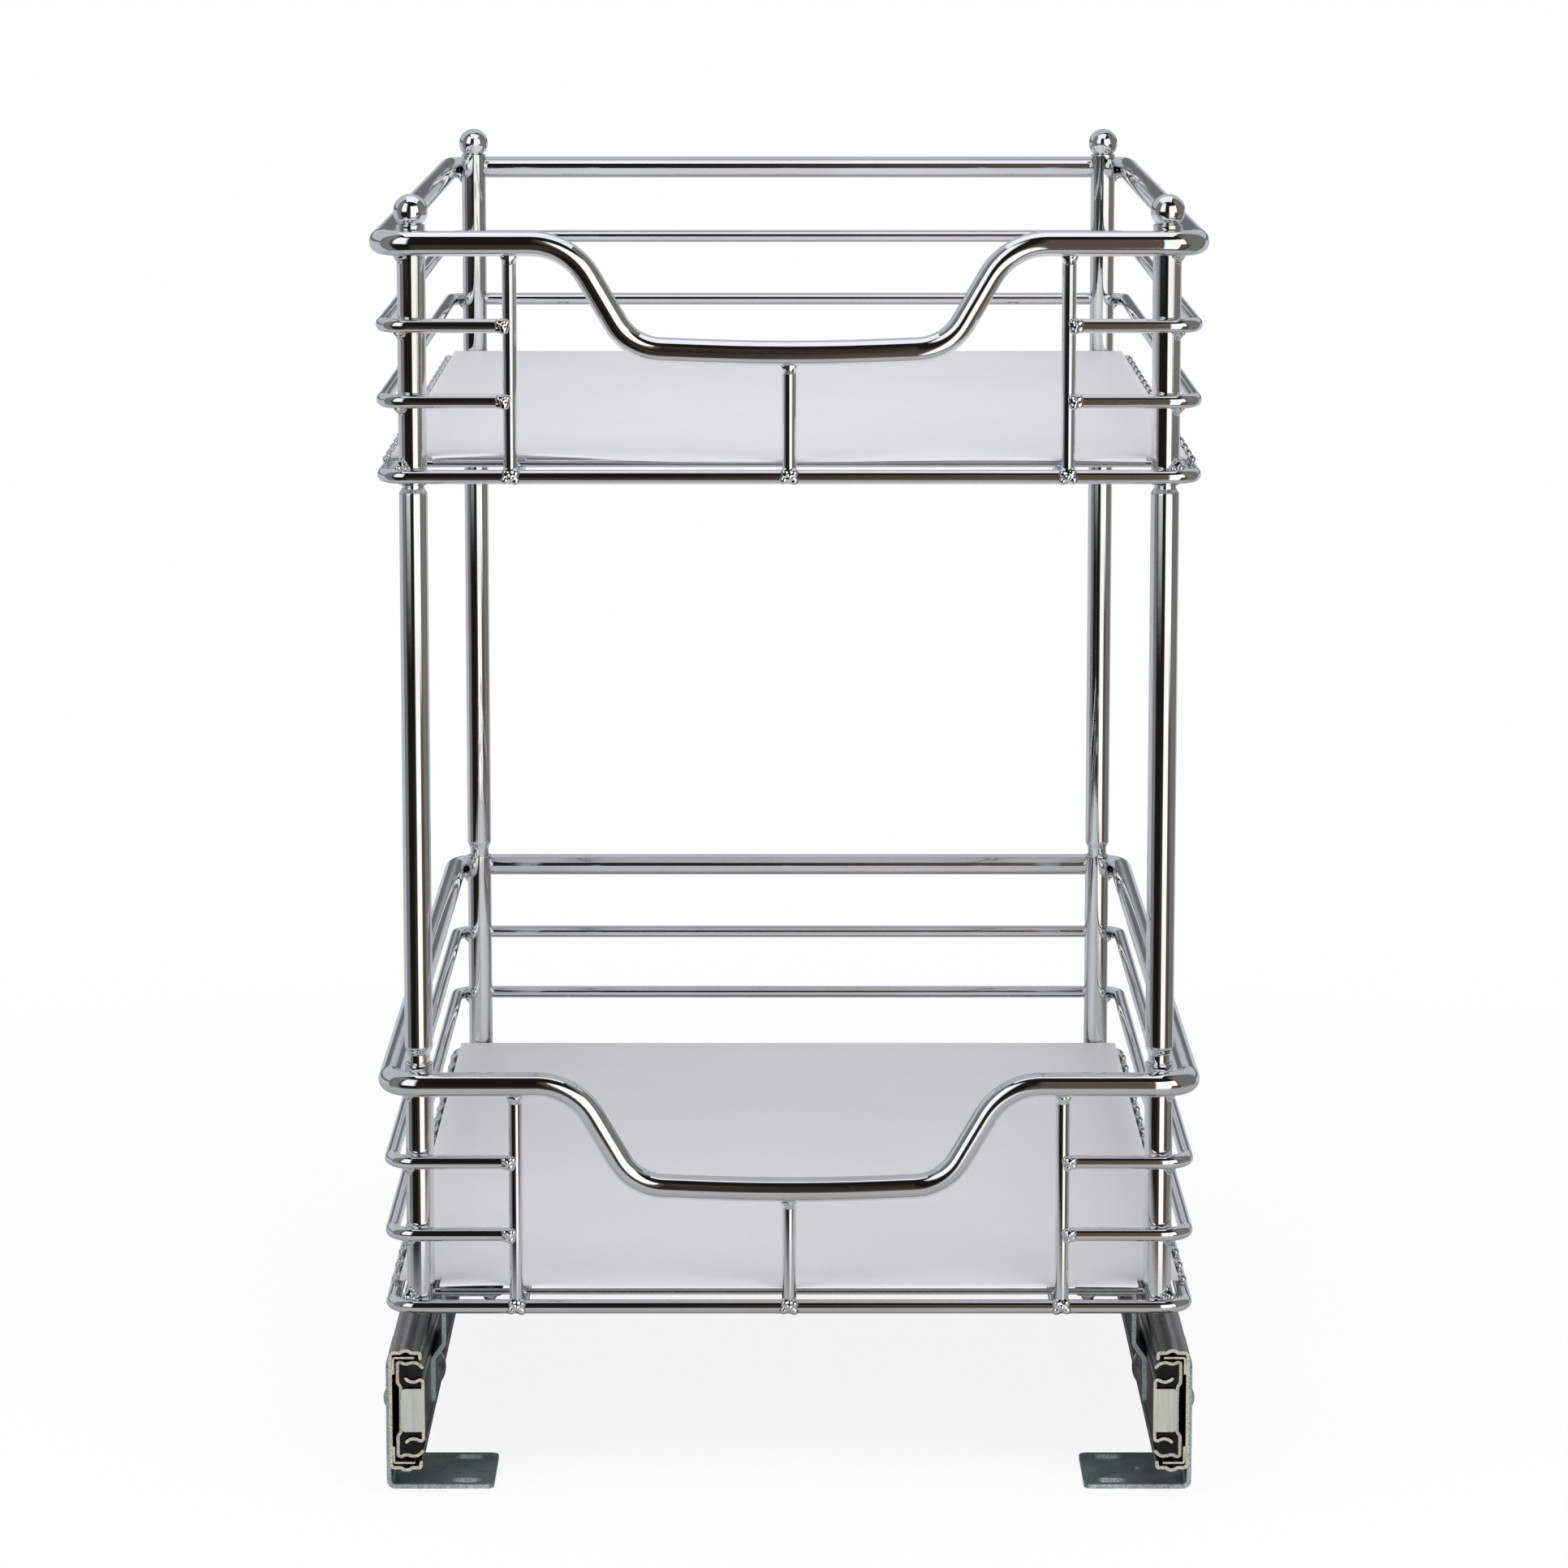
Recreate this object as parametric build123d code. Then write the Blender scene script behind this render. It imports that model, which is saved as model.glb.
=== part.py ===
from build123d import *
from math import acos, asin, atan2, cos, degrees, hypot, radians, sin, sqrt, tan
import os

# Pull-out cabinet organizer: two wire baskets on corner posts, carried by two
# ball-bearing drawer slides that stand on floor brackets.
# Millimetres. +X is right, +Y goes into the cabinet, +Z is up. The origin is on the
# cabinet floor, at the middle of the footprint. The baskets pull out along -Y.

# Baskets
rail_outer_width = 292.0
rail_outer_depth = 452.0
rail_d = 8.8
rail_corner_r = 12.0
wire_d = 5.0
wire_corner_r = 9.0
wire_side_gap = 2.6
basket_lift = 14.1
tier_pitch = 297.0
rail_rise = 81.3
side_wire_rises = (26.3, 52.6)
weld_gap = 0.05

# Handle dip in the front of each top rail
dip_top_half = 76.2
dip_bottom_half = 55.0
dip_side_depth = 36.4
dip_mid_depth = 38.6
dip_top_r = 23.0
dip_bottom_r = 19.0
dip_sag_r = 800.0

# Front uprights and their weld beads
upright_x = 97.0
top_bead_d = 5.6
foot_bead_d = 6.6
end_bead_d = 6.0

# Floor grid of each basket
floor_wire_d = 2.2
floor_wire_count = 22
floor_wire_end_inset = 1.5
support_wire_x = 95.5

# Corner posts and ball finials
post_d = 10.0
post_wall = 1.0
stub_drop = 1.0
stub_stand = 1.5
neck_insert = 12.0
neck_clearance = 0.1
foot_neck = 2.8
foot_shoulder = 3.5
head_neck = 1.0
head_shoulder = 2.3
finial_d = 12.0
finial_spigot = 8.0

# Liners
liner_t = 0.8
liner_side_inset = 2.0
liner_front_gap = 0.6
liner_rear_gap = 1.4
liner_notch_clearance = 0.9
liner_rest = 0.05

# Three-section ball-bearing slides
slide_length = 450.0
slide_z = 8.9
slide_h = 45.0
slide_t = 12.8
slide_inset = 1.4
outer_sheet = 1.2
inner_sheet = 1.1
flange_drop = 1.45
outer_ball_d = 3.969
inner_ball_d = 5.556
outer_ball_u = 6.1
inner_ball_u = 8.75
inner_ball_drop = 8.7
ball_clearance = 0.05
mid_web_u = 4.2
side_web_u = 3.1
jog_low_drop = 14.4
jog_high_drop = 12.6
mid_flange_drop = 5.2
outer_flank = 36.0
race_flank = 45.0
shoulder_flank = 30.0
inner_web_flank = 30.0
web_bend_r = 1.3
rolled_bend_r = 0.75
inner_bend_r = 1.0
outer_lip_reach = 5.1
outer_lip_lean = 0.15
outer_lip_drop = 1.95
mid_lip = 1.1
inner_lip = 0.25
cage_length = 180.0
cage_bend_r = 0.6
outer_cage_t = 0.7
outer_cage_u = 1.7
outer_cage_reach = 8.9
inner_cage_t = 0.5
inner_cage_u = 5.25
inner_cage_reach = 11.4
balls_per_row = 4
ball_pocket_clearance = 0.2
cage_stop_depth = 4.0
cage_stop_web = 6.0
stop_tab_u = 4.4
stop_tab_height = 15.8
stop_tab_corner_r = 1.5
stop_tab_gap = 0.3
bumper_depth = 10.0
bumper_gap = 0.3
bumper_seat = 0.06
bumper_bridge_t = 1.0

# Floor brackets under the slides
bracket_t = 1.6
bracket_depth = 42.0
bracket_setback = 9.0
bracket_plate_width = 38.3
bracket_leg_cover = 37.1
bracket_bend_r = 2.3
bracket_corner_r = 3.0
slot_inset = 26.8
slot_pitch = 30.5
slot_length = 10.8
slot_width = 5.6
pilot_hole_d = 4.0
pilot_inset = 16.6
rivet_d = 4.8
rivet_head_d = 8.0
rivet_head_h = 1.5
rivet_pitch = 24.0

# Carrier brackets between the slides and the lower basket
carrier_t = 1.6
carrier_foot_drop = 9.4
joggle_low_rise = 8.1
joggle_high_rise = 13.6
joggle_in = 3.9
carrier_leg_depth = 40.0
carrier_flange_gap = 8.45
carrier_flange_overhang = 23.6
carrier_flange_width = 26.8
carrier_bend_r = 2.0
carrier_corner_r = 3.0
truss_head_d = 13.0
truss_head_h = 2.6
truss_shank_d = 4.5
truss_shank_out = 5.2
grid_screw_edge = 4.4
grid_screw_d = 3.0
grid_head_d = 5.4
grid_head_h = 2.8
clamp_width = 10.0
clamp_t = 1.2
hole_clearance = 0.1

# Sizes that follow from the ones above
rail_x = (rail_outer_width - rail_d) / 2
rail_y = (rail_outer_depth - rail_d) / 2
post_offset = (rail_corner_r - rail_d / 2 - post_d / 2 - weld_gap) / sqrt(2)
post_x = rail_x - rail_corner_r + post_offset
post_y = rail_y - rail_corner_r + post_offset
wire_x = post_x + (post_d + wire_d) / 2 + wire_side_gap
wire_y = post_y + (post_d + wire_d) / 2 + weld_gap
lower_basket_z = slide_z + slide_h + basket_lift
floor_wire_rise = (wire_d + floor_wire_d) / 2 + weld_gap / 2
floor_pitch = 2 * post_y / (floor_wire_count - 1)
lower_floor_top = lower_basket_z + floor_wire_rise + floor_wire_d / 2
slide_front = -slide_length / 2
slide_mid_z = slide_z + slide_h / 2
slide_face_x = wire_x + wire_d / 2 - slide_inset
slide_inner_x = slide_face_x - slide_t
inner_web_u = slide_t - inner_sheet / 2
inner_ball = (inner_ball_u, slide_h - inner_ball_drop)
bracket_mid_y = slide_front + bracket_setback + bracket_depth / 2
bracket_inner_x = slide_face_x + bracket_t - bracket_plate_width
bracket_leg_h = slide_z + bracket_leg_cover
carrier_flange_z = lower_basket_z + wire_d / 2 - carrier_t / 2
carrier_flange_front = wire_d / 2 + carrier_flange_gap - wire_y
carrier_leg_front = carrier_flange_front + carrier_flange_overhang
carrier_leg_mid_y = carrier_leg_front + carrier_leg_depth / 2
carrier_flange_inner_x = slide_inner_x - carrier_flange_width
grid_screw_x = carrier_flange_inner_x + grid_screw_edge

sides = {"left": -1, "right": 1}
ends = {"front": 1, "rear": -1}
tiers = {"lower": lower_basket_z, "upper": lower_basket_z + tier_pitch}


def straight_rod(start, end, diameter):
    """A round bar between two points."""
    start, end = Vector(*start), Vector(*end)
    axis = end - start
    return Plane(origin=(start + end) * 0.5, z_dir=axis) * Cylinder(diameter / 2, axis.length)


def bent_rod(points, diameter, radii, close=False):
    """A round bar bent along straight runs and tangent arcs."""
    path = FilletPolyline(*points, radius=radii, close=close)
    section = Plane(origin=path @ 0, z_dir=path % 0) * Circle(diameter / 2)
    return sweep(section, path=path)


def loop_points(x, y, z):
    """Corners of a rectangle at one height, front left first, going round by the front."""
    return [(-x, -y, z), (x, -y, z), (x, y, z), (-x, y, z)]


# Baskets


def top_rail(z):
    """Closed tube loop whose front dips into a low handle."""
    front = [
        (-dip_top_half, 0.0, dip_top_r),
        (-dip_bottom_half, -dip_side_depth, dip_bottom_r),
        (0.0, -dip_mid_depth, dip_sag_r),
        (dip_bottom_half, -dip_side_depth, dip_bottom_r),
        (dip_top_half, 0.0, dip_top_r),
    ]
    corners = loop_points(rail_x, rail_y, z)
    points = [corners[0]] + [(x, -rail_y, z + drop) for x, drop, _ in front] + corners[1:]
    radii = [rail_corner_r] + [radius for _, _, radius in front] + 3 * [rail_corner_r]
    return bent_rod(points, rail_d, radii, close=True)


def dip_lowest():
    """Height of the tube's axis at the middle of the dip, from the level rail."""
    half_turn = atan2(dip_mid_depth - dip_side_depth, dip_bottom_half)
    return -dip_mid_depth + dip_sag_r * (1 / cos(half_turn) - 1)


def bottom_rail(z):
    """Closed wire loop under the floor grid."""
    return bent_rod(loop_points(wire_x, wire_y, z), wire_d, wire_corner_r, close=True)


def side_wire(z):
    """Wire that runs from one outer upright round the sides and back to the other."""
    start = upright_x + wire_d / 2 + weld_gap
    left_front, right_front, right_rear, left_rear = loop_points(wire_x, wire_y, z)
    points = [(-start, -wire_y, z), left_front, left_rear, right_rear, right_front,
              (start, -wire_y, z)]
    wire = bent_rod(points, wire_d, wire_corner_r)
    for sign in (-1, 1):
        bead = Pos(sign * start, -wire_y, z) * Sphere(end_bead_d / 2)
        upright = Pos(sign * upright_x, -wire_y, z) * Cylinder(wire_d / 2 + weld_gap, end_bead_d * 2)
        wire = wire + (bead - upright)
    return wire


def front_uprights(z):
    """Three short wires that tie the top rail to the bottom rail, with their weld beads."""
    rail_level = z + rail_rise
    solids = []
    for x in (-upright_x, 0.0, upright_x):
        rail_z = rail_level + (dip_lowest() if x == 0.0 else 0.0)
        reach = rail_z - rail_d / 2
        upright = straight_rod((x, -wire_y, z), (x, -wire_y, rail_z), wire_d)
        upright = upright + Pos(x, -wire_y, reach) * Sphere(top_bead_d / 2)
        upright = upright + Pos(x, -wire_y, z) * Sphere(foot_bead_d / 2)
        rail = Pos(x, -rail_y, rail_z) * Rot(0, 90, 0) * Cylinder(rail_d / 2 + weld_gap, 4 * rail_d)
        foot = Pos(x, -wire_y, z) * Rot(0, 90, 0) * Cylinder(wire_d / 2 + weld_gap, 4 * wire_d)
        behind = half_space(x, wire_d / 2 - wire_y, z, (Align.CENTER, Align.MIN, Align.CENTER))
        solids += (upright - rail - foot - behind).solids().sort_by(Axis.Z)[-1:]
    return Compound(children=solids)


def floor_wire_places():
    """Distances of the cross wires from the middle, front to rear."""
    return [-post_y + i * floor_pitch for i in range(floor_wire_count)]


def floor_wires(z):
    """Thin cross wires on the bottom rail. The first and last join the posts."""
    level = z + floor_wire_rise
    rail_reach = wire_x + wire_d / 2 - floor_wire_end_inset
    solids = []
    for y in floor_wire_places():
        at_post = abs(y) > post_y - floor_pitch / 2
        reach = post_x - post_d / 2 - weld_gap if at_post else rail_reach
        solids.append(straight_rod((-reach, y, level), (reach, y, level), floor_wire_d))
    return Compound(children=solids)


def support_wires(z):
    """Two wires from front to rear under the cross wires."""
    reach = wire_y - wire_d / 2 - weld_gap
    places = (-support_wire_x, support_wire_x)
    return Compound(children=[straight_rod((x, -reach, z), (x, reach, z), wire_d) for x in places])


def corner_sockets(z):
    """Four tubes welded inside the corners, which the long tubes and finials plug into."""
    low = z - wire_d / 2 - stub_drop
    high = z + rail_rise + rail_d / 2 + stub_stand
    tube = Cylinder(post_d / 2, high - low) - Cylinder(post_d / 2 - post_wall, high - low)
    middle = (low + high) / 2
    return Compound(children=[Pos(x, y, middle) * tube for x, y, _ in loop_points(post_x, post_y, 0)])


def long_tube(x, y):
    """Tube between the tiers, swaged to a neck at both ends."""
    bottom = lower_basket_z + rail_rise + rail_d / 2 + stub_stand
    top = lower_basket_z + tier_pitch - wire_d / 2 - stub_drop
    body_r = post_d / 2
    neck_r = body_r - post_wall - neck_clearance
    outline = [
        (neck_r, bottom - neck_insert),
        (neck_r, bottom + foot_neck),
        (body_r, bottom + foot_neck + foot_shoulder),
        (body_r, top - head_neck - head_shoulder),
        (neck_r, top - head_neck),
        (neck_r, top + neck_insert),
    ]
    inside = [(r - post_wall, z) for r, z in reversed(outline)]
    profile = Plane.XZ * make_face(Polyline(*outline, *inside, close=True))
    return Pos(x, y, 0) * revolve(profile, Axis.Z)


def ball_finial(x, y):
    """Ball that plugs the top of a corner post."""
    rim = tiers["upper"] + rail_rise + rail_d / 2 + stub_stand
    bore_r = post_d / 2 - post_wall
    spigot_r = bore_r - neck_clearance
    ball_z = rim + sqrt((finial_d / 2) ** 2 - bore_r ** 2) + neck_clearance
    spigot = straight_rod((0, 0, rim - finial_spigot), (0, 0, ball_z), 2 * spigot_r)
    return Pos(x, y, 0) * (Pos(0, 0, ball_z) * Sphere(finial_d / 2) + spigot)


def liner(bottom):
    """Plastic sheet on the floor grid, notched round the front posts."""
    front = wire_d / 2 + liner_front_gap - wire_y
    notch_y = -post_y + post_d / 2 + liner_notch_clearance
    rear = post_y - post_d / 2 - liner_rear_gap
    side = wire_x - liner_side_inset
    notch_x = post_x - post_d / 2 - 2 * liner_notch_clearance
    right = [(notch_x, front), (notch_x, notch_y), (side, notch_y), (side, rear)]
    outline = right + [(-x, y) for x, y in reversed(right)]
    return Pos(0, 0, bottom) * extrude(make_face(Polyline(*outline, close=True)), liner_t)


# Slides. A section is drawn as (u, w): u inward from the outer face, w up from the bottom.


def cup(centre, radius, left, right):
    """Corner whose fillet of this radius cradles a ball from below, between two slopes."""
    turn, lean = radians(left + right) / 2, radians(right - left) / 2
    reach = radius / cos(turn)
    return centre[0] + reach * sin(lean), centre[1] - reach * cos(lean)


def cap(centre, radius, left, right):
    """The same from above."""
    u, w = cup(centre, radius, right, left)
    return 2 * centre[0] - u, 2 * centre[1] - w


outer_race_r = outer_ball_d / 2 + ball_clearance + outer_sheet / 2
outer_ball = (outer_ball_u, slide_h - outer_sheet / 2 - outer_race_r)
mid_outer_race_r = outer_ball_d / 2 + ball_clearance + inner_sheet / 2
inner_race_r = inner_ball_d / 2 + ball_clearance + inner_sheet / 2


def race_slope():
    """Slope of the sheet that passes under the outer ball and over the inner one."""
    across, down = inner_ball[0] - outer_ball[0], inner_ball[1] - outer_ball[1]
    between = degrees(asin((mid_outer_race_r + inner_race_r) / hypot(across, down)))
    return degrees(atan2(down, across)) + between


def outer_path():
    """Upper half of the outer member's sheet line, from web to lip, with corner radii."""
    peak = cap(outer_ball, outer_race_r, outer_flank, outer_flank)
    flange_level = slide_h - flange_drop
    half = (peak[1] - flange_level) / tan(radians(outer_flank))
    web = outer_sheet / 2
    lip = peak[0] + outer_lip_reach
    points = [(web, flange_level), (peak[0] - half, flange_level), peak,
              (peak[0] + half, flange_level), (lip, flange_level),
              (lip + outer_lip_lean, flange_level - outer_lip_drop)]
    return points, [web_bend_r, rolled_bend_r, outer_race_r, rolled_bend_r, rolled_bend_r]


def middle_path():
    """Upper half of the intermediate member's sheet line."""
    slope = race_slope()
    valley = cup(outer_ball, mid_outer_race_r, shoulder_flank, slope)
    crest = cap(inner_ball, inner_race_r, slope, race_flank)
    flank = radians(race_flank)
    flange_level = slide_h - mid_flange_drop
    shoulder = valley[0] - (flange_level - valley[1]) / tan(radians(shoulder_flank))
    lip_u = inner_ball[0] + inner_race_r * sin(flank) + mid_lip * cos(flank)
    lip_w = inner_ball[1] + inner_race_r * cos(flank) - mid_lip * sin(flank)
    points = [(mid_web_u, slide_h - jog_low_drop), (side_web_u, slide_h - jog_high_drop),
              (side_web_u, flange_level), (shoulder, flange_level), valley, crest, (lip_u, lip_w)]
    return points, 4 * [rolled_bend_r] + [mid_outer_race_r, inner_race_r]


def inner_path():
    """Upper half of the inner member's sheet line."""
    right, left = radians(inner_web_flank), radians(race_flank)
    valley = cup(inner_ball, inner_race_r, race_flank, inner_web_flank)
    corner_w = (inner_ball[1] - inner_race_r * cos(right)
                + (inner_web_u - inner_ball[0] - inner_race_r * sin(right)) * tan(right))
    lip_u = inner_ball[0] - inner_race_r * sin(left) - inner_lip * cos(left)
    lip_w = inner_ball[1] - inner_race_r * cos(left) + inner_lip * sin(left)
    return [(inner_web_u, corner_w), valley, (lip_u, lip_w)], [inner_bend_r, inner_race_r]


def sheet_face(path, thickness):
    """Cross-section of a rolled sheet, mirrored about the slide's middle."""
    points, radii = path
    lower = [(u, slide_h - w) for u, w in reversed(points)]
    line = FilletPolyline(*lower, *points, radius=[*reversed(radii), *radii])
    return make_face(offset(line, amount=thickness / 2, side=Side.BOTH))


def run(face, start, end):
    """Extrudes a slide section between two distances along Y, at the right-hand slide."""
    flat = Plane(origin=(slide_face_x, start, slide_z), x_dir=(-1, 0, 0), z_dir=(0, 1, 0))
    return extrude(flat * face, end - start)


def reflect(shape, plane):
    """Mirror image of every solid in a shape."""
    return Compound(children=[solid.mirror(plane) for solid in shape.solids()])


def on_side(side, shape):
    """Leaves a shape at the right-hand slide, or mirrors it to the left."""
    return shape if sides[side] > 0 else reflect(shape, Plane.YZ)


def cross_hole(y, z, diameter):
    """Drill along X through both slides' webs and brackets, on the right."""
    return Pos(slide_face_x - slide_t / 2, y, z) * Rot(0, 90, 0) * Cylinder(diameter / 2, 3 * slide_t)


def rivet_places():
    """Rivet positions along Y, for the front and rear floor brackets."""
    return [end * bracket_mid_y + step * rivet_pitch / 2 for end in (1, -1) for step in (-1, 1)]


def outer_member():
    """Fixed channel with a stop for the ball strip in each front corner."""
    channel = run(sheet_face(outer_path(), outer_sheet), slide_front, -slide_front)
    stop = run(sheet_face(outer_cage_path(), outer_cage_t), slide_front, slide_front + cage_stop_depth)
    gap_half = outer_ball[1] - cage_stop_web - slide_h / 2
    open_middle = Box(slide_t, 3 * cage_stop_depth, 2 * gap_half)
    stop = stop - Pos(slide_face_x - slide_t / 2, slide_front, slide_mid_z) * open_middle
    root_align = (Align.MAX, Align.MIN, Align.MIN)
    root = Box(outer_cage_u, cage_stop_depth, cage_stop_web / 2, align=root_align)
    root = Pos(slide_face_x, slide_front, slide_mid_z + gap_half) * root
    for piece in (*stop.solids(), root, root.mirror(Plane.XY.offset(slide_mid_z))):
        channel = channel + piece
    for y in rivet_places():
        channel = channel - cross_hole(y, slide_mid_z, rivet_d + hole_clearance)
    return channel


def intermediate_member():
    """Middle rail between the two rows of balls on each edge."""
    front = slide_front + inner_sheet + stop_tab_gap
    return run(sheet_face(middle_path(), inner_sheet), front, -slide_front)


def inner_member():
    """Moving rail with a stop tab turned across its front end."""
    rail = run(sheet_face(inner_path(), inner_sheet), slide_front, -slide_front)
    low, high = (slide_h - stop_tab_height) / 2, (slide_h + stop_tab_height) / 2
    tab = Polyline((stop_tab_u, low), (inner_web_u, low), (inner_web_u, high), (stop_tab_u, high),
                   close=True)
    tab_face = fillet(make_face(tab).vertices().sort_by(Axis.X)[:2], stop_tab_corner_r)
    rail = rail + run(tab_face, slide_front, slide_front + inner_sheet)
    for end in (1, -1):
        rail = rail - cross_hole(end * carrier_leg_mid_y, slide_mid_z, truss_shank_d + hole_clearance)
    return rail


def outer_cage_path():
    """Line of the steel strip that spaces the outer balls."""
    return [(outer_cage_u, outer_ball[1]), (outer_cage_reach, outer_ball[1])], [cage_bend_r]


def inner_cage_path():
    """Line of the strip that spaces the inner balls."""
    return [(inner_cage_u, inner_ball[1]), (inner_cage_reach, inner_ball[1])], [cage_bend_r]


def ball_places(centre):
    """Ball centres of one strip, in both grooves, at the right-hand slide."""
    step = cage_length / balls_per_row
    places = [-cage_length / 2 + step * (i + 0.5) for i in range(balls_per_row)]
    heights = (slide_z + centre[1], slide_z + slide_h - centre[1])
    return [(slide_face_x - centre[0], y, z) for z in heights for y in places]


def ball_strip(path, thickness, centre, ball_d):
    """Spacer strip with a pocket for each ball."""
    strip = run(sheet_face(path, thickness), -cage_length / 2, cage_length / 2)
    for place in ball_places(centre):
        strip = strip - Pos(*place) * Cylinder(ball_d / 2 + ball_pocket_clearance, 4 * thickness)
    return strip


def balls(centre, ball_d):
    """Steel balls of one strip."""
    return Compound(children=[Pos(*place) * Sphere(ball_d / 2) for place in ball_places(centre)])


def bumper():
    """Plastic end piece in the front of the intermediate member, round the inner rail's hooks."""
    points, _ = middle_path()
    left, right = side_web_u + inner_sheet / 2 + bumper_seat, points[-1][0] - bumper_gap
    low, high = slide_h - jog_low_drop + bumper_gap, points[4][1]
    block = [(left, low), (right, low), (right, high), (left, high)]
    web = mid_web_u + inner_sheet / 2 + bumper_seat
    web_low, web_high = slide_h - low - bumper_bridge_t, low + bumper_bridge_t
    bridge = [(web, web_low), (web + bumper_bridge_t, web_low), (web + bumper_bridge_t, web_high),
              (web, web_high)]
    mirrored = [(u, slide_h - w) for u, w in block]
    outlines = [make_face(Polyline(*line, close=True)) for line in (block, bridge, mirrored)]
    face = outlines[0] + outlines[1] + outlines[2]
    face = face - sheet_face(middle_path(), inner_sheet + 2 * bumper_seat)
    face = face - sheet_face(inner_path(), inner_sheet + 2 * bumper_gap)
    front = slide_front + inner_sheet + stop_tab_gap
    solid = run(face, front, front + bumper_depth)
    return solid.solids().sort_by(SortBy.VOLUME)[-1]


# Brackets and fasteners, drawn at the right-hand slide


def strip_profile(points, radius, thickness):
    """Section of a folded strip in the XZ plane."""
    line = FilletPolyline(*points, radius=radius)
    return make_face(offset(line, amount=thickness / 2, side=Side.BOTH))


def fold(points, radius, thickness, front, rear):
    """Folded strip between two distances along Y, with square ends."""
    flat = Plane(origin=(0, front, 0), x_dir=(1, 0, 0), z_dir=(0, -1, 0))
    return extrude(flat * strip_profile(points, radius, thickness), front - rear)


def floor_bracket(pilot):
    """L-shaped bracket: a slotted plate on the cabinet floor and a leg up the slide."""
    leg_x = slide_face_x + bracket_t / 2
    front, rear = bracket_mid_y - bracket_depth / 2, bracket_mid_y + bracket_depth / 2
    points = [(leg_x, bracket_leg_h), (leg_x, bracket_t / 2), (bracket_inner_x, bracket_t / 2)]
    body = fold(points, bracket_bend_r, bracket_t, front, rear)
    trim = half_space(bracket_inner_x, bracket_mid_y, 0, (Align.MAX, Align.CENTER, Align.CENTER))
    crown = half_space(leg_x, bracket_mid_y, bracket_leg_h, (Align.CENTER, Align.CENTER, Align.MIN))
    body = body - trim - crown
    plate_corners = body.edges().filter_by(Axis.Z).group_by(Axis.X)[0]
    leg_corners = body.edges().filter_by(Axis.X).group_by(Axis.Z)[-1]
    body = fillet(plate_corners + leg_corners, bracket_corner_r)
    for step in (-1, 1):
        slot = extrude(SlotOverall(slot_length, slot_width), bracket_t * 2, both=True)
        slot_y = bracket_mid_y + step * slot_pitch / 2
        body = body - Pos(slide_face_x - slot_inset, slot_y, 0) * slot
        rivet_y = bracket_mid_y + step * rivet_pitch / 2
        body = body - cross_hole(rivet_y, slide_mid_z, rivet_d + hole_clearance)
    if pilot:
        pilot_hole = Cylinder(pilot_hole_d / 2, bracket_t * 4)
        body = body - Pos(slide_face_x - pilot_inset, bracket_mid_y, 0) * pilot_hole
    return body


def rivet(y):
    """Domed rivet through the bracket leg and the outer member's web."""
    seat = slide_face_x + bracket_t
    shank = straight_rod((slide_face_x - outer_sheet, y, slide_mid_z), (seat, y, slide_mid_z), rivet_d)
    return shank + dome(seat, y, slide_mid_z, 1, rivet_head_d, rivet_head_h)


def dome(x, y, z, direction, diameter, height):
    """Shallow round head on a face square to X."""
    radius = (diameter ** 2 / 4 + height ** 2) / (2 * height)
    start = degrees(asin((radius - height) / radius))
    sweep_angle = degrees(acos((radius - height) / radius))
    arc = CenterArc((0, height - radius), radius, start, sweep_angle)
    half = make_face(arc + Polyline((0, height), (0, 0), (diameter / 2, 0)))
    seat = Plane(origin=(x, y, z), x_dir=(0, 0, 1), z_dir=(0, direction, 0))
    return seat * revolve(half, Axis.Y)


def half_space(x, y, z, align):
    """Large block with one face through a point, to cut a folded strip square."""
    size = slide_length / 2
    return Pos(x, y, z) * Box(size, size, size, align=align)


def upright_hole(x, y, z):
    """Drill for a grid screw."""
    return Pos(x, y, z) * Cylinder(grid_screw_d / 2 + hole_clearance, 3 * truss_head_d)


def carrier_bracket():
    """Z-shaped bracket from the inner rail up to a flange under the floor wires."""
    leg_x = slide_inner_x - carrier_t / 2
    foot_z = slide_mid_z - carrier_foot_drop
    rear = carrier_leg_front + carrier_leg_depth
    points = [(leg_x, foot_z), (leg_x, slide_mid_z + joggle_low_rise),
              (leg_x - joggle_in, slide_mid_z + joggle_high_rise),
              (leg_x - joggle_in, carrier_flange_z), (carrier_flange_inner_x, carrier_flange_z)]
    body = fold(points, carrier_bend_r, carrier_t, carrier_flange_front, rear)
    flange_end_x = leg_x - joggle_in - carrier_bend_r
    notch = Box(slide_t, carrier_flange_overhang, 2 * carrier_flange_z,
                align=(Align.MIN, Align.MIN, Align.CENTER))
    foot = half_space(leg_x, carrier_leg_mid_y, foot_z, (Align.CENTER, Align.CENTER, Align.MAX))
    trim = half_space(carrier_flange_inner_x, carrier_leg_mid_y, carrier_flange_z,
                      (Align.MAX, Align.CENTER, Align.CENTER))
    body = body - Pos(flange_end_x, carrier_flange_front, carrier_flange_z) * notch - foot - trim
    flange_corners = body.edges().filter_by(Axis.Z).group_by(Axis.X)[0]
    foot_corners = body.edges().filter_by(Axis.X).group_by(Axis.Z)[0]
    body = fillet(flange_corners + foot_corners, carrier_corner_r)
    for y in grid_screw_places():
        body = body - upright_hole(grid_screw_x, y, carrier_flange_z)
    return body - cross_hole(carrier_leg_mid_y, slide_mid_z, truss_shank_d + hole_clearance)


def grid_screw_places():
    """Screws of the front carriers stand midway between cross wires."""
    return [-post_y + (i + 0.5) * floor_pitch for i in (0, 2)]


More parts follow.
